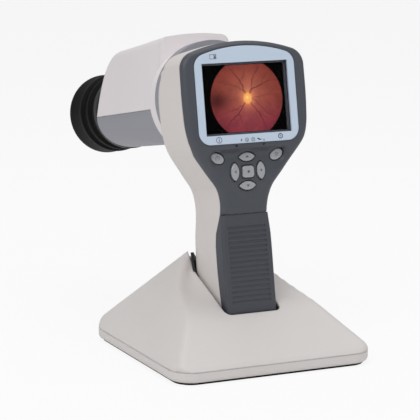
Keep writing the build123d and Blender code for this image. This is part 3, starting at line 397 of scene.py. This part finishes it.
# Rings over the cover, as shares of the way from the pocket to the outer edge.
COVER_SHARES = (0.0, 0.012, 0.03, 0.055, 0.09, 0.13, 0.175, 0.22, 0.27, 0.32, 0.37, 0.42, 0.47,
                0.52, 0.57, 0.62, 0.67, 0.72, 0.77, 0.82, 0.87, 0.91, 0.945, 0.97, 0.985,
                0.995, 1.0)
COVER_LOWEST_Z = 7.5
HEM = ((1.0, 7.25), (0.985, 7.15))  # (scale of the outline, z) under the outer edge


def stand_height(x, y):
    side_x = abs(x)
    side = STAND_BASE_Z + SIDE_SLOPE * (STAND_HALF - side_x)
    front = STAND_BASE_Z + FRONT_SLOPE * (y + STAND_HALF)
    back = STAND_BASE_Z + BACK_SLOPE * (STAND_HALF - y)
    slopes = smooth_min(smooth_min(side, front, blend=3.0), back, blend=2.2)
    if y <= SADDLE_FRONT_Y:
        return slopes
    start_y, start_z = RIDGE[0]
    ridge = hermite(RIDGE, y) if y >= start_y else start_z + (y - start_y) * RIDGE_FRONT_SLOPE
    mouth = 29.6 + 0.415 * (y + 27)
    ridge_x = linear(RIDGE_X, y)
    saddle = mouth + (ridge - mouth) * smoothstep(VALLEY_X, max(ridge_x, 17.6), side_x)
    # Shallow valley between the handle pocket and the ridge.
    sag = VALLEY_SAG * smoothstep(-24, 2, y) * (1 - smoothstep(15, 21, y))
    across = clamp((side_x - VALLEY_X) / max(ridge_x - VALLEY_X, 1.0))
    saddle -= sag * max(0.0, math.sin(math.pi * across))
    return smooth_min(slopes, saddle, blend=1.3)


def pocket_ring():
    """Points (x, depth) round the pocket, from front right, anticlockwise from above."""
    half, front, back = POCKET_HALF, POCKET_FRONT, POCKET_BACK
    small, large = POCKET_FRONT_RADIUS, POCKET_BACK_RADIUS

    def between(x0, y0, x1, y1, steps):
        """Points inside a straight run, without its ends."""
        return [(x0 + (x1 - x0) * i / steps, y0 + (y1 - y0) * i / steps)
                for i in range(1, steps)]

    return (arc(half - small, front + small, small, -90, 0, 6)
            + between(half, front + small, half, back - large, 16)
            + arc(half - large, back - large, large, 0, 90, 16)
            + arc(-half + large, back - large, large, 90, 180, 16)
            + between(-half, back - large, -half, front + small, 16)
            + arc(-half + small, front + small, small, 180, 270, 6)
            + between(-half + small, front, half - small, front, 12))


def surface_along(x, depth):
    """Where the line along the handle through (x, depth) meets the stand surface."""
    along = -105.0
    for _ in range(60):
        z = stand_height(x, handle_yz(along, depth)[0])
        along = (z - ORIGIN_Z + SIN * depth) / COS * 0.6 + along * 0.4
    return along


def outside_plan(x, y):
    """Signed distance out from the stand's rounded square plan."""
    beyond_x = abs(x) - (STAND_HALF - STAND_CORNER)
    beyond_y = abs(y) - (STAND_HALF - STAND_CORNER)
    return (math.hypot(max(beyond_x, 0), max(beyond_y, 0))
            + min(max(beyond_x, beyond_y), 0) - STAND_CORNER)


def plan_edge_towards(x, y):
    """Point of the plan's edge in the direction of (x, y) from the cover's centre."""
    angle = math.atan2(y - COVER_CENTER_Y, x)
    step_x, step_y = math.cos(angle), math.sin(angle)
    near, far = 0.0, 150.0
    for _ in range(40):
        middle = (near + far) / 2
        if outside_plan(step_x * middle, COVER_CENTER_Y + step_y * middle) < 0:
            near = middle
        else:
            far = middle
    return step_x * near, COVER_CENTER_Y + step_y * near


def refined(points, steps):
    """Closed ring with each span cut into `steps`."""
    out = []
    for i, start in enumerate(points):
        end = points[(i + 1) % len(points)]
        for j in range(steps):
            t = j / steps
            out.append(tuple(a + (b - a) * t for a, b in zip(start, end)))
    return out


def build_stand_cover():
    mouth = []
    for x, depth in pocket_ring():
        along = surface_along(x, depth)
        mouth.append((x, handle_yz(along, depth)[0], along, depth))
    outline = [plan_edge_towards(x, y) for x, y, _, _ in mouth]
    # Extra points round the rings keep the ridges crisp.
    mouth, outline = refined(mouth, 4), refined(outline, 4)

    verts = []
    for drop in WALL_DROPS:
        for x, _, along, depth in mouth:
            verts.append(Vector((x, *handle_yz(along - drop, depth))) / 1000)
    for share in COVER_SHARES:
        for inner, outer in zip(mouth, outline):
            x = inner[0] + (outer[0] - inner[0]) * share
            y = inner[1] + (outer[1] - inner[1]) * share
            z = stand_height(x, y)
            if share == 0.0:
                z -= LIP_DROP
            outside = outside_plan(x, y)
            if outside > -EDGE_ROUND:
                z -= EDGE_DROP * ((outside + EDGE_ROUND) / EDGE_ROUND) ** 2
            verts.append(Vector((x, y, max(z, COVER_LOWEST_Z))) / 1000)
    for scale, z in HEM:
        verts += [Vector((x * scale, y * scale, z)) / 1000 for x, y in outline]

    count = len(mouth)
    faces = ring_faces(len(verts) // count, count)
    stand = add_piece("stand_skin", verts, faces, "stand", ("stand_cover",))
    tidy(stand)
    put(stand, "stand_grey")


build_stand_cover()

# ---------------------------------------------------------------- eyecup
OPTICAL_AXIS_Y = 2.0
EYECUP_SEGMENTS = 128
# Closed section with two ribs: (depth behind the screen, radius).
EYECUP = [(166.4, 20.5), (166.3, 21.2), (168.5, 21.6), (171.0, 21.7), (172.8, 22.0),
          (174.2, 23.3), (176.6, 23.4), (177.8, 22.2), (180.5, 22.3), (182.4, 22.7),
          (183.8, 24.0), (186.4, 24.1), (187.8, 23.0), (191, 23.1), (196, 23.7),
          (200.5, 24.4), (202.3, 24.2), (202.5, 23.4), (201.2, 22.6), (195, 21.9),
          (188, 21.2), (180, 20.9), (172.6, 20.5)]


def build_eyecup():
    """The section turned about the optical axis."""
    section = catmull_rom(EYECUP, 5, closed=True)
    verts = []
    for i in range(EYECUP_SEGMENTS):
        angle = 2 * math.pi * i / EYECUP_SEGMENTS
        for depth, radius in section:
            verts.append(handset_point(radius * math.cos(angle),
                                       OPTICAL_AXIS_Y + radius * math.sin(angle), -depth))
    faces = ring_faces(EYECUP_SEGMENTS, len(section), closed=True)
    eyecup = add_piece("eyecup_rubber", verts, faces, "eyecup_body",
                       ("eyecup",))
    tidy(eyecup)
    put(eyecup, "black_rubber")


build_eyecup()

# ---------------------------------------------------------------- flat outlines (handset mm)
def placed(points, center_x, center_y, degrees):
    """Points turned about the origin, then moved to the centre."""
    turn = math.radians(degrees)
    return [(center_x + x * math.cos(turn) - y * math.sin(turn),
             center_y + x * math.sin(turn) + y * math.cos(turn)) for x, y in points]


def oval(center_x, center_y, half_x, half_y, degrees=0, count=36, power=1.0):
    """Ellipse; a power below 1 squares it off."""
    points = []
    for i in range(count):
        angle = 2 * math.pi * i / count
        cos, sin = math.cos(angle), math.sin(angle)
        points.append((half_x * math.copysign(abs(cos) ** power, cos),
                       half_y * math.copysign(abs(sin) ** power, sin)))
    return placed(points, center_x, center_y, degrees)


def circle(center_x, center_y, radius, count):
    return oval(center_x, center_y, radius, radius, count=count)


def eye(center_x, center_y, half_x, half_y, degrees, count=18):
    """Pointed lens outline with softened tips."""
    radius = (half_x * half_x + half_y * half_y) / (2 * half_y)
    points = []
    for sign in (1, -1):
        for i in range(count):
            x = half_x * (1 - 2 * i / (count - 1)) * 0.97 * sign
            y = (math.sqrt(radius * radius - x * x) - (radius - half_y)) * sign
            points.append((x, y))
    return placed(points, center_x, center_y, degrees)


# ---------------------------------------------------------------- front fascia (handset mm)
NECK_Y, NECK_HALF = -63.0, 14.15
SIDE_TOP_Y = 15.0
FASCIA_HALF, FASCIA_TOP = 37.5, 31.4
FASCIA_CORNER, FASCIA_CROWN = 10.0, 94.5  # radii
# Half width of the fascia: (y, x).
HALF_WIDTH = [(NECK_Y, NECK_HALF), (-60.0, 14.1), (-54.0, 14.9), (-48.0, 17.1), (-42.0, 21.7),
              (-35.5, 26.6), (-29.0, 31.4), (-22.5, 35.0), (-15.0, 36.8), (-6.0, 37.4),
              (1.0, 37.6), (8.0, 37.6), (SIDE_TOP_Y, FASCIA_HALF)]
# Depth of the outer rim: (y, z).
SEAM = [(-63, -15.8), (-55, -13.5), (-45, -11.2), (-36, -9.6), (-30, -8.0), (-25, -4.9),
        (-18, -3.5), (40, -3.5)]
# Surface down the middle, inside the bowl: (y, z).
FLOOR = [(-63, -11.9), (-55, -9.8), (-47.6, -7.4), (-40, -5.7), (-35, -5.8), (-31.6, -5.7),
         (-29.4, -4.6), (-28.0, -1.9), (-27.2, -0.4), (-26.4, 0.0), (-20, 0.0), (40, 0.0)]
# Surface at the sides, outside the bowl: (y, z).
FLANK = [(-63, -11.9), (-58, -10.5), (-52, -8.8), (-46, -7.1), (-40, -5.4), (-35, -3.9),
         (-31, -2.5), (-27, -1.0), (-23.5, -0.15), (-20, 0.0), (40, 0.0)]
# Half width of the bowl: (y, x).
BOWL = [(-63, 2.0), (-54, 4.0), (-50, 7.5), (-46, 11.0), (-42, 15.0), (-38, 18.6),
        (-34, 21.4), (-30, 22.6), (-26, 22.0), (-20, 20)]
FLAT_FROM_Y = -20
EDGE_RADIUS = 4.0
# Rings near the edge (distance in from it), then even steps to the spine.
EDGE_RINGS = [0.0, 0.12, 0.4, 0.85, 1.45, 2.2, 3.1, 4.1]
INNER_RINGS = 26
FASCIA_WALL = 1.3

BEZEL_GAP = 0.16
BEZEL_HALF, BEZEL_TOP, BEZEL_BOTTOM = 30.3, 28.5, -24.5
BEZEL_TOP_CORNER, BEZEL_BOTTOM_CORNER, BEZEL_CROWN = 7.5, 7.0, 82.6  # radii
PIN_X, PIN_Y, PIN_RADIUS = 8.3, -25.7, 0.55
CUT_TOP = 2.0  # z where all cutters end
BEZEL_CUT_FLOOR, KEY_CUT_FLOOR, PIN_CUT_FLOOR = -4.0, -16.0, -6.0

KEY_GAP = 0.42
# Key: (shape, x, y, turn in degrees, z of its top).
KEYS = {
    "power_button": ("oval", -18.0, -31.8, -27, -5.1),
    "menu_button": ("oval", 18.0, -31.6, 27, -5.1),
    "up_button": ("eye", 0.0, -31.9, 0, -5.2),
    "down_button": ("eye", 0.0, -47.6, 0, -6.5),
    "left_button": ("eye", -7.9, -39.8, 90, -4.7),
    "right_button": ("eye", 7.9, -39.8, 90, -4.7),
    "select_button": ("square", 0.0, -40.1, 0, -4.6),
}


def fascia_front(x, y):
    """Height z of the fascia's front surface."""
    if y > FLAT_FROM_Y:
        return 0.0
    floor_z, flank_z = hermite(FLOOR, y), hermite(FLANK, y)
    bowl = hermite(BOWL, y)
    return floor_z + (flank_z - floor_z) * smoothstep(bowl - 1.8, bowl + 2.6, abs(x))


def fascia_outline():
    """Closed outline, anticlockwise from the middle of the neck edge."""
    right = [(NECK_HALF * i / 8, NECK_Y) for i in range(9)]
    for i in range(1, 65):
        y = NECK_Y + (SIDE_TOP_Y - NECK_Y) * i / 64
        right.append((hermite(HALF_WIDTH, y), y))
    right += crowned_corner(FASCIA_HALF, FASCIA_CORNER, FASCIA_CROWN,
                            FASCIA_TOP - FASCIA_CROWN, 16, 24)
    points = right + mirrored(right[1:-1])
    kept = [points[0]]
    for point in points[1:]:
        if math.dist(point, kept[-1]) > 0.05:
            kept.append(point)
    return kept


def bezel_outline():
    """Closed outline of the bezel opening, from the bottom right corner."""
    half, top, bottom = BEZEL_HALF + BEZEL_GAP, BEZEL_TOP + BEZEL_GAP, BEZEL_BOTTOM - BEZEL_GAP
    radius = BEZEL_BOTTOM_CORNER + BEZEL_GAP
    right = arc(half - radius, bottom + radius, radius, -90, 0, 9)
    right += crowned_corner(half, BEZEL_TOP_CORNER + BEZEL_GAP, BEZEL_CROWN,
                            top - BEZEL_CROWN, 9, 12)[:-1]
    return right + [(0.0, top)] + mirrored(right)


def key_outline(key):
    """Outline of the opening round a key."""
    shape, x, y, turn, _ = KEYS[key]
    if shape == "oval":
        return oval(x, y, 4.1 + KEY_GAP, 2.8 + KEY_GAP, turn)
    if shape == "eye":
        return eye(x, y, 4.95 + KEY_GAP * 1.5, 2.45 + KEY_GAP, turn)
    return oval(x, y, 3.5 + KEY_GAP, 3.25 + KEY_GAP, turn, power=0.42)


def add_cutter(name, outline, floor_z):
    """Prism in millimetres over the outline, from floor_z to CUT_TOP."""
    count = len(outline)
    verts = [tuple(handset_point(x, y, z)) for z in (floor_z, CUT_TOP) for x, y in outline]
    faces = [tuple(reversed(range(count))), tuple(range(count, 2 * count))]
    mesh = bpy.data.meshes.new(name)
    mesh.from_pydata(verts, [], faces + ring_faces(2, count))
    prism = bpy.data.objects.new(name, mesh)
    bpy.context.scene.collection.objects.link(prism)
    face_outward(mesh)
    mesh.transform(Matrix.Scale(1000.0, 4))
    return prism


def apply_modifiers(piece):
    depsgraph = bpy.context.evaluated_depsgraph_get()
    mesh = bpy.data.meshes.new_from_object(piece.evaluated_get(depsgraph))
    piece.modifiers.clear()
    piece.data = mesh


def fascia_vertices(outline):
    """Rings shrinking from the outline to the spine, with a rounded free edge."""
    verts = []
    last = len(EDGE_RINGS) - 1
    for k in range(len(EDGE_RINGS) + INNER_RINGS):
        for edge_x, edge_y in outline:
            spine_y = clamp(edge_y * 0.9 - 2, -50.0, 12.0)
            reach = max(math.hypot(edge_x, edge_y - spine_y), 1e-6)
            if k <= last:
                inset = EDGE_RINGS[k]
            else:
                inset = EDGE_RINGS[last] + (reach - EDGE_RINGS[last]) * (k - last) / INNER_RINGS
            inset = min(inset, reach)
            share = inset / reach
            x, y = edge_x * (1 - share), edge_y + (spine_y - edge_y) * share
            z = fascia_front(x, y)
            # The neck edge is not rounded, except towards its ends.
            on_neck = edge_y <= NECK_Y + 0.01
            gap = max(NECK_HALF - abs(x), 0.0) if on_neck else inset
            if gap < EDGE_RADIUS:
                outward = 1 - gap / EDGE_RADIUS
                seam = hermite(SEAM, y)
                z = seam + (z - seam) * math.sqrt(max(0.0, 1 - outward * outward))
            verts.append(handset_point(x, y, z))
    return verts


def build_fascia():
    outline = fascia_outline()
    faces = ring_faces(len(EDGE_RINGS) + INNER_RINGS, len(outline))
    fascia = add_piece("fascia_skin", fascia_vertices(outline), faces, "handset",
                       ("front_fascia",))
    tidy(fascia)
    # The wall and the openings are made in millimetres, then scaled back to metres.
    fascia.data.transform(Matrix.Scale(1000.0, 4))
    wall = fascia.modifiers.new("wall", "SOLIDIFY")
    wall.thickness = FASCIA_WALL
    wall.offset = -1.0
    apply_modifiers(fascia)
    cutters = [add_cutter("cut_bezel", bezel_outline(), BEZEL_CUT_FLOOR)]
    for key in KEYS:
        cutters.append(add_cutter("cut_" + key, key_outline(key), KEY_CUT_FLOOR))
    for x in (-PIN_X, PIN_X):
        cutters.append(add_cutter("cut_pin", circle(x, PIN_Y, PIN_RADIUS, 16), PIN_CUT_FLOOR))
    for prism in cutters:
        cut = fascia.modifiers.new(prism.name, "BOOLEAN")
        cut.operation = "DIFFERENCE"
        cut.object = prism
        cut.solver = "EXACT"
    apply_modifiers(fascia)
    for prism in cutters:
        bpy.data.objects.remove(prism, do_unlink=True)
    fascia.data.transform(Matrix.Scale(0.001, 4))
    shade_smooth(fascia.data)
    split_edges(fascia, 34)
    put(fascia, "fascia_grey")


build_fascia()

# ---------------------------------------------------------------- screen picture
SCREEN_HALF_X, SCREEN_HALF_Y, SCREEN_Z = 24.4, 18.3, -3.03
SCREEN_COLUMNS, SCREEN_ROWS = 244, 184
# Vessels: (points (x, y) from the bright disc outward, width at the start).
VESSELS = [
    ([(1.6, 0.6), (0.5, 3.0), (-2.0, 9.3), (-5.4, 13.6), (-8.8, 18.5)], 0.55),
    ([(2.6, 0.8), (5.2, 4.8), (10.0, 6.6), (14.0, 8.5), (23.3, 9.6)], 0.50),
    ([(2.4, 1.0), (4.5, 5.5), (5.8, 11.0), (9.3, 16.3), (10.2, 20.0)], 0.42),
    ([(1.2, -1.2), (-0.8, -3.7), (-4.2, -8.3), (-9.1, -12.1), (-13.5, -17.0)], 0.55),
    ([(2.6, -1.4), (4.5, -4.0), (8.7, -9.1), (11.3, -14.7), (12.4, -19.0)], 0.45),
    ([(3.0, -0.6), (6.3, -1.4), (13.3, -8.6), (20.8, -11.8)], 0.36),
    ([(0.6, 3.0), (-4.0, 6.4), (-9.6, 8.2), (-15.5, 9.8)], 0.30),
    ([(-0.8, -3.7), (-6.5, -6.2), (-12.0, -7.4), (-18.0, -9.6)], 0.30),
    ([(3.6, 0.0), (9.0, 0.6), (15.0, 1.2), (21.0, 0.4)], 0.24),
    ([(10.0, 6.6), (13.0, 11.8), (17.0, 15.8)], 0.26),
    ([(8.7, -9.1), (13.0, -11.6), (16.4, -15.6)], 0.26),
    ([(-2.0, 9.3), (0.6, 13.0), (1.4, 18.0)], 0.26),
    ([(-4.2, -8.3), (-2.6, -13.0), (-3.6, -18.0)], 0.26),
]
VESSEL_CELL = 0.2  # mm, grid on which vessel depth is stored
VESSEL_STEP = 0.12  # mm between stamps along a vessel
WOBBLE = 0.22  # mm
# Red, green and blue (0-255): base, tint low down, darkening to the rim, mottling, glow,
# dark patch (share), vessels (share), disc colour, disc heart colour and share, halo.
CHANNELS = [
    (150, -4, 24, 26, 30, 0.42, 0.62, 255, 255, 0.0, 36),
    (76, -10, 20, 10, 26, 0.45, 0.72, 176, 228, 0.9, 30),
    (64, 9, 16, 8, 18, 0.38, 0.55, 96, 150, 0.9, 10),
]
SURROUND = 3  # level outside the round field


def lattice_value(i, j):
    """Repeatable scattered value from 0 to 1."""
    value = math.sin(i * 127.1 + j * 311.7) * 43758.5453
    return value - math.floor(value)


def value_noise(x, y):
    i, j = math.floor(x), math.floor(y)
    s, t = x - i, y - j
    s, t = s * s * (3 - 2 * s), t * t * (3 - 2 * t)
    low = lattice_value(i, j) * (1 - s) + lattice_value(i + 1, j) * s
    high = lattice_value(i, j + 1) * (1 - s) + lattice_value(i + 1, j + 1) * s
    return low * (1 - t) + high * t


def vessel_path(points, width):
    """Wobbling, tapering line of (x, y, width)."""
    line = catmull_rom(points, 10, closed=False)
    return [(x + WOBBLE * math.sin(i * 1.1 + width * 40),
             y + WOBBLE * math.cos(i * 0.9 + width * 30),
             width * (1 - 0.65 * i / len(line))) for i, (x, y) in enumerate(line)]


def stamp_vessel(depths, x, y, width):
    """Deepen the grid cells round one point of a vessel."""
    reach = int((width * 1.6) / VESSEL_CELL) + 1
    column, row = int(round(x / VESSEL_CELL)), int(round(y / VESSEL_CELL))
    for i in range(column - reach, column + reach + 1):
        for j in range(row - reach, row + reach + 1):
            away = math.hypot(i * VESSEL_CELL - x, j * VESSEL_CELL - y)
            depth = math.exp(-(away / (width * 0.52)) ** 2) * (0.45 + 0.9 * width)
            if depth > depths.get((i, j), 0.0):
                depths[(i, j)] = depth


def vessel_grid():
    depths = {}
    for points, start_width in VESSELS:
        path = vessel_path(points, start_width)
        for start, end in zip(path, path[1:]):
            steps = max(1, int(math.hypot(end[0] - start[0], end[1] - start[1]) / VESSEL_STEP))
            for k in range(steps):
                t = k / steps
                stamp_vessel(depths, *(a + (b - a) * t for a, b in zip(start, end)))
    return depths


def vessel_depth(depths, x, y):
    """Vessel depth between the grid's cells."""
    column, row = x / VESSEL_CELL, y / VESSEL_CELL
    i, j = math.floor(column), math.floor(row)
    s, t = column - i, row - j
    return ((depths.get((i, j), 0) * (1 - s) + depths.get((i + 1, j), 0) * s) * (1 - t)
            + (depths.get((i, j + 1), 0) * (1 - s) + depths.get((i + 1, j + 1), 0) * s) * t)


def picture_color(depths, x, y):
    """Warm round field with vessels, a dark patch at the left and a bright disc."""
    rim = math.hypot(x - 1.35, y + 0.35) / 22.1
    field = 1 - smoothstep(0.975, 1.0, rim)
    mottle = value_noise(x * 0.35 + 7, y * 0.35 + 3) * 0.6 + value_noise(x * 1.1, y * 1.1) * 0.4
    low = smoothstep(3, -17, y)
    glow = math.exp(-((x - 2.6) ** 2 / 60 + (y - 3.0) ** 2 / 90))
    patch = math.exp(-(((x + 16.1) / 5.6) ** 2 + ((y + 0.9) / 4.4) ** 2))
    vessel = vessel_depth(depths, x, y)
    from_disc = math.hypot((x - 1.9) / 2.5, (y + 0.1) / 3.0)
    disc = 1 - smoothstep(0.75, 1.25, from_disc)
    heart = 1 - smoothstep(0.0, 0.7, math.hypot((x - 1.7) / 2.0, (y - 0.3) / 2.2))
    halo = math.exp(-(max(0.0, from_disc - 0.9) / 0.9) ** 2) * (1 - disc)

    levels = []
    for (base, low_tint, rim_dark, mottle_gain, glow_gain, patch_share, vessel_share,
         disc_level, heart_level, heart_share, halo_gain) in CHANNELS:
        level = base + low_tint * low - rim_dark * rim * rim + mottle_gain * (mottle - 0.5)
        level += glow_gain * glow
        level *= 1 - patch_share * patch
        level *= 1 - vessel_share * vessel
        level += (disc_level - level) * disc
        level += (heart_level - level) * heart * heart_share
        level += halo_gain * halo
        levels.append(clamp(level, 0, 255) * field + SURROUND * (1 - field))
    return srgb(*levels)


def build_screen():
    depths = vessel_grid()
    verts, faces, colors = [], [], []
    for j in range(SCREEN_ROWS):
        for i in range(SCREEN_COLUMNS):
            x = -SCREEN_HALF_X + 2 * SCREEN_HALF_X * i / (SCREEN_COLUMNS - 1)
            y = -SCREEN_HALF_Y + 2 * SCREEN_HALF_Y * j / (SCREEN_ROWS - 1)
            verts.append(handset_point(x, y, SCREEN_Z))
            colors.extend(picture_color(depths, x, y))
    for j in range(SCREEN_ROWS - 1):
        for i in range(SCREEN_COLUMNS - 1):
            a = j * SCREEN_COLUMNS + i
            faces.append((a, a + 1, a + SCREEN_COLUMNS + 1, a + SCREEN_COLUMNS))
    screen = add_piece("screen_picture", verts, faces, "handset")
    layer = screen.data.color_attributes.new("picture", "FLOAT_COLOR", "POINT")
    layer.data.foreach_set("color", colors)
    display("screen_lit", rough=0.3, strength=1.0, layer="picture")
    put(screen, "screen_lit")


build_screen()

# ---------------------------------------------------------------- printed marks (handset mm)
PRINT_LIFT = 0.03
BEZEL_FACE_Z = 0.25


def ring(center_x, center_y, radius, width, count=28, start=0.0, end=360.0):
    """Ring or part ring as quads; radius is its outer one."""
    inner = arc(center_x, center_y, radius - width, start, end, count)
    outer = arc(center_x, center_y, radius, start, end, count)
    return [[inner[i], outer[i], outer[i + 1], inner[i + 1]] for i in range(count)]


def rect(center_x, center_y, width, height):
    left, right = center_x - width / 2, center_x + width / 2
    bottom, top = center_y - height / 2, center_y + height / 2
    return [(left, bottom), (right, bottom), (right, top), (left, top)]


def add_print(name, polygons, surface_z, material, body):
    """Thin printed shapes just above a flat surface."""
    verts, faces = [], []
    for polygon in polygons:
        start = len(verts)
        verts += [handset_point(x, y, surface_z + PRINT_LIFT) for x, y in polygon]
        faces.append(tuple(range(start, len(verts))))
    printed = add_piece(name, verts, faces, body, smooth=False)
    put(printed, material)


def bezel_symbols():
    # Ring with a bar, lower left; ring with a dot, lower right.
    shapes = ring(-18.7, -22.0, 1.75, 0.3) + [rect(-18.7, -22.0, 0.34, 2.2)]
    shapes += ring(18.6, -21.9, 1.45, 0.45) + [circle(18.6, -21.9, 0.35, 14)]
    # Row along the bottom middle: zigzag, two double rings, slanted bar with a block, ring.
    shapes += [[(-5.0, -21.7), (-6.0, -22.9), (-5.4, -22.9), (-5.8, -23.9), (-4.7, -22.5),
                (-5.3, -22.5)]]
    for x in (-2.0, 1.8):
        shapes += ring(x, -22.8, 1.15, 0.2, 22) + ring(x, -22.8, 0.6, 0.18, 16)
    shapes += [[(4.3, -22.2), (5.0, -22.2), (6.4, -22.9), (6.4, -23.3), (5.6, -23.3),
                (4.3, -22.6)], rect(6.9, -23.0, 0.5, 0.4)]
    shapes += ring(8.3, -23.4, 0.55, 0.18, 14)
    # Small picture-frame symbol, upper left.
    shapes += [rect(-18.8, 24.35, 3.9, 0.22), rect(-18.8, 22.05, 3.9, 0.22),
               rect(-20.65, 23.2, 0.22, 2.5), rect(-16.95, 23.2, 0.22, 2.5),
               rect(-18.3, 23.2, 0.2, 2.3), circle(-17.6, 23.5, 0.42, 14),
               [(-18.1, 22.3), (-17.1, 22.3), (-17.1, 22.8), (-17.6, 23.1), (-18.1, 22.8)]]
    return shapes


# Polygons printed on each key, about the key's centre.
KEY_MARKS = {
    "power_button": ring(0, 0, 1.25, 0.22, 18, -50, 230) + [rect(0, 0.7, 0.22, 1.3)],
    "menu_button": [rect(0, y, 2.2, 0.26) for y in (0.7, 0, -0.7)],
    "up_button": [[(-1.0, -0.4), (1.0, -0.4), (0, 0.8)]],
    "down_button": [[(-1.0, 0.4), (0, -0.8), (1.0, 0.4)]],
    "left_button": [[(-0.6, 0), (0.5, -0.9), (0.5, 0.9)]],
    "right_button": [[(0.6, 0), (-0.5, 0.9), (-0.5, -0.9)]],
    "select_button": [circle(0, 0, 0.75, 18)],
}

add_print("bezel_symbols", bezel_symbols(), BEZEL_FACE_Z, "ink", "handset")
for key, (_, key_x, key_y, _, key_top) in KEYS.items():
    polygons = [[(key_x + x, key_y + y) for x, y in polygon] for polygon in KEY_MARKS[key]]
    add_print(key + "_mark", polygons, key_top, "mark", key.replace("_button", "_key"))


# ---------------------------------------------------------------- floor, light, camera
def build_floor():
    bpy.ops.mesh.primitive_plane_add(size=8.0, location=(0, 0, 0))
    floor = bpy.context.object
    floor.name = "floor"
    tree = new_material("floor_white")
    shader = tree.nodes["Principled BSDF"]
    set_inputs(tree, shader, {"Base Color": (0.93, 0.93, 0.93, 1), "Roughness": 0.9,
                              "Specular IOR Level": 0.1})
    # Seen directly, the floor is mostly plain white, so shadows stay faint.
    rays = add_node(tree, "LightPath")
    glow = add_node(tree, "Emission")
    share = add_node(tree, "Math", {0: rays.outputs["Is Camera Ray"], 1: 0.86},
                     operation="MULTIPLY")
    mix = add_node(tree, "MixShader", {"Fac": share.outputs["Value"],
                                       1: shader.outputs["BSDF"],
                                       2: glow.outputs["Emission"]})
    set_inputs(tree, tree.nodes["Material Output"], {"Surface": mix.outputs["Shader"]})
    put(floor, "floor_white")


def build_world():
    """White background, dimmer as a light than to the camera."""
    world = bpy.data.worlds.new("studio")
    bpy.context.scene.world = world
    world.use_nodes = True
    tree = world.node_tree
    rays = add_node(tree, "LightPath")
    strength = add_node(tree, "MapRange", {"To Min": 0.42, "To Max": 1.0,
                                           "Value": rays.outputs["Is Camera Ray"]})
    set_inputs(tree, tree.nodes["Background"], {"Color": (1.0, 1.0, 1.0, 1),
                                                "Strength": strength.outputs["Result"]})


LIGHT_TARGET = (0, 0.02, 0.09)


def add_area_light(name, location, size, power):
    light = bpy.data.lights.new(name, "AREA")
    light.size = size
    light.energy = power
    lamp = bpy.data.objects.new(name, light)
    bpy.context.scene.collection.objects.link(lamp)
    lamp.location = location
    aim = Vector(LIGHT_TARGET) - Vector(location)
    lamp.rotation_euler = aim.to_track_quat("-Z", "Y").to_euler()


CAMERA_PLACE = Vector((-0.51087, -1.04069, 0.31049))
CAMERA_ROLL = math.radians(0.439)
# Camera axes before the roll.
CAMERA_RIGHT = Vector((0.90230, -0.43110, 0.0))
CAMERA_UP = Vector((0.08388, 0.17557, 0.98089))
CAMERA_BACK = Vector((-0.42286, -0.88506, 0.19458))


def build_camera():
    lens = bpy.data.cameras.new("camera")
    lens.sensor_width = 36.0
    lens.lens = 181.76
    lens.clip_start = 0.05
    lens.clip_end = 20.0
    camera = bpy.data.objects.new("camera", lens)
    bpy.context.scene.collection.objects.link(camera)
    cos, sin = math.cos(CAMERA_ROLL), math.sin(CAMERA_ROLL)
    right = CAMERA_RIGHT * cos + CAMERA_UP * sin
    up = -CAMERA_RIGHT * sin + CAMERA_UP * cos
    pose = Matrix((right, up, CAMERA_BACK)).transposed().to_4x4()
    pose.translation = CAMERA_PLACE
    camera.matrix_world = pose
    bpy.context.scene.camera = camera


build_floor()
build_world()
add_area_light("key", (-0.75, -0.55, 0.95), size=0.7, power=4.6)
add_area_light("top", (0.1, 0.1, 1.25), size=0.9, power=4.2)
add_area_light("fill", (0.9, -0.8, 0.55), size=0.9, power=1.0)
build_camera()
bpy.context.scene.view_settings.view_transform = "Standard"
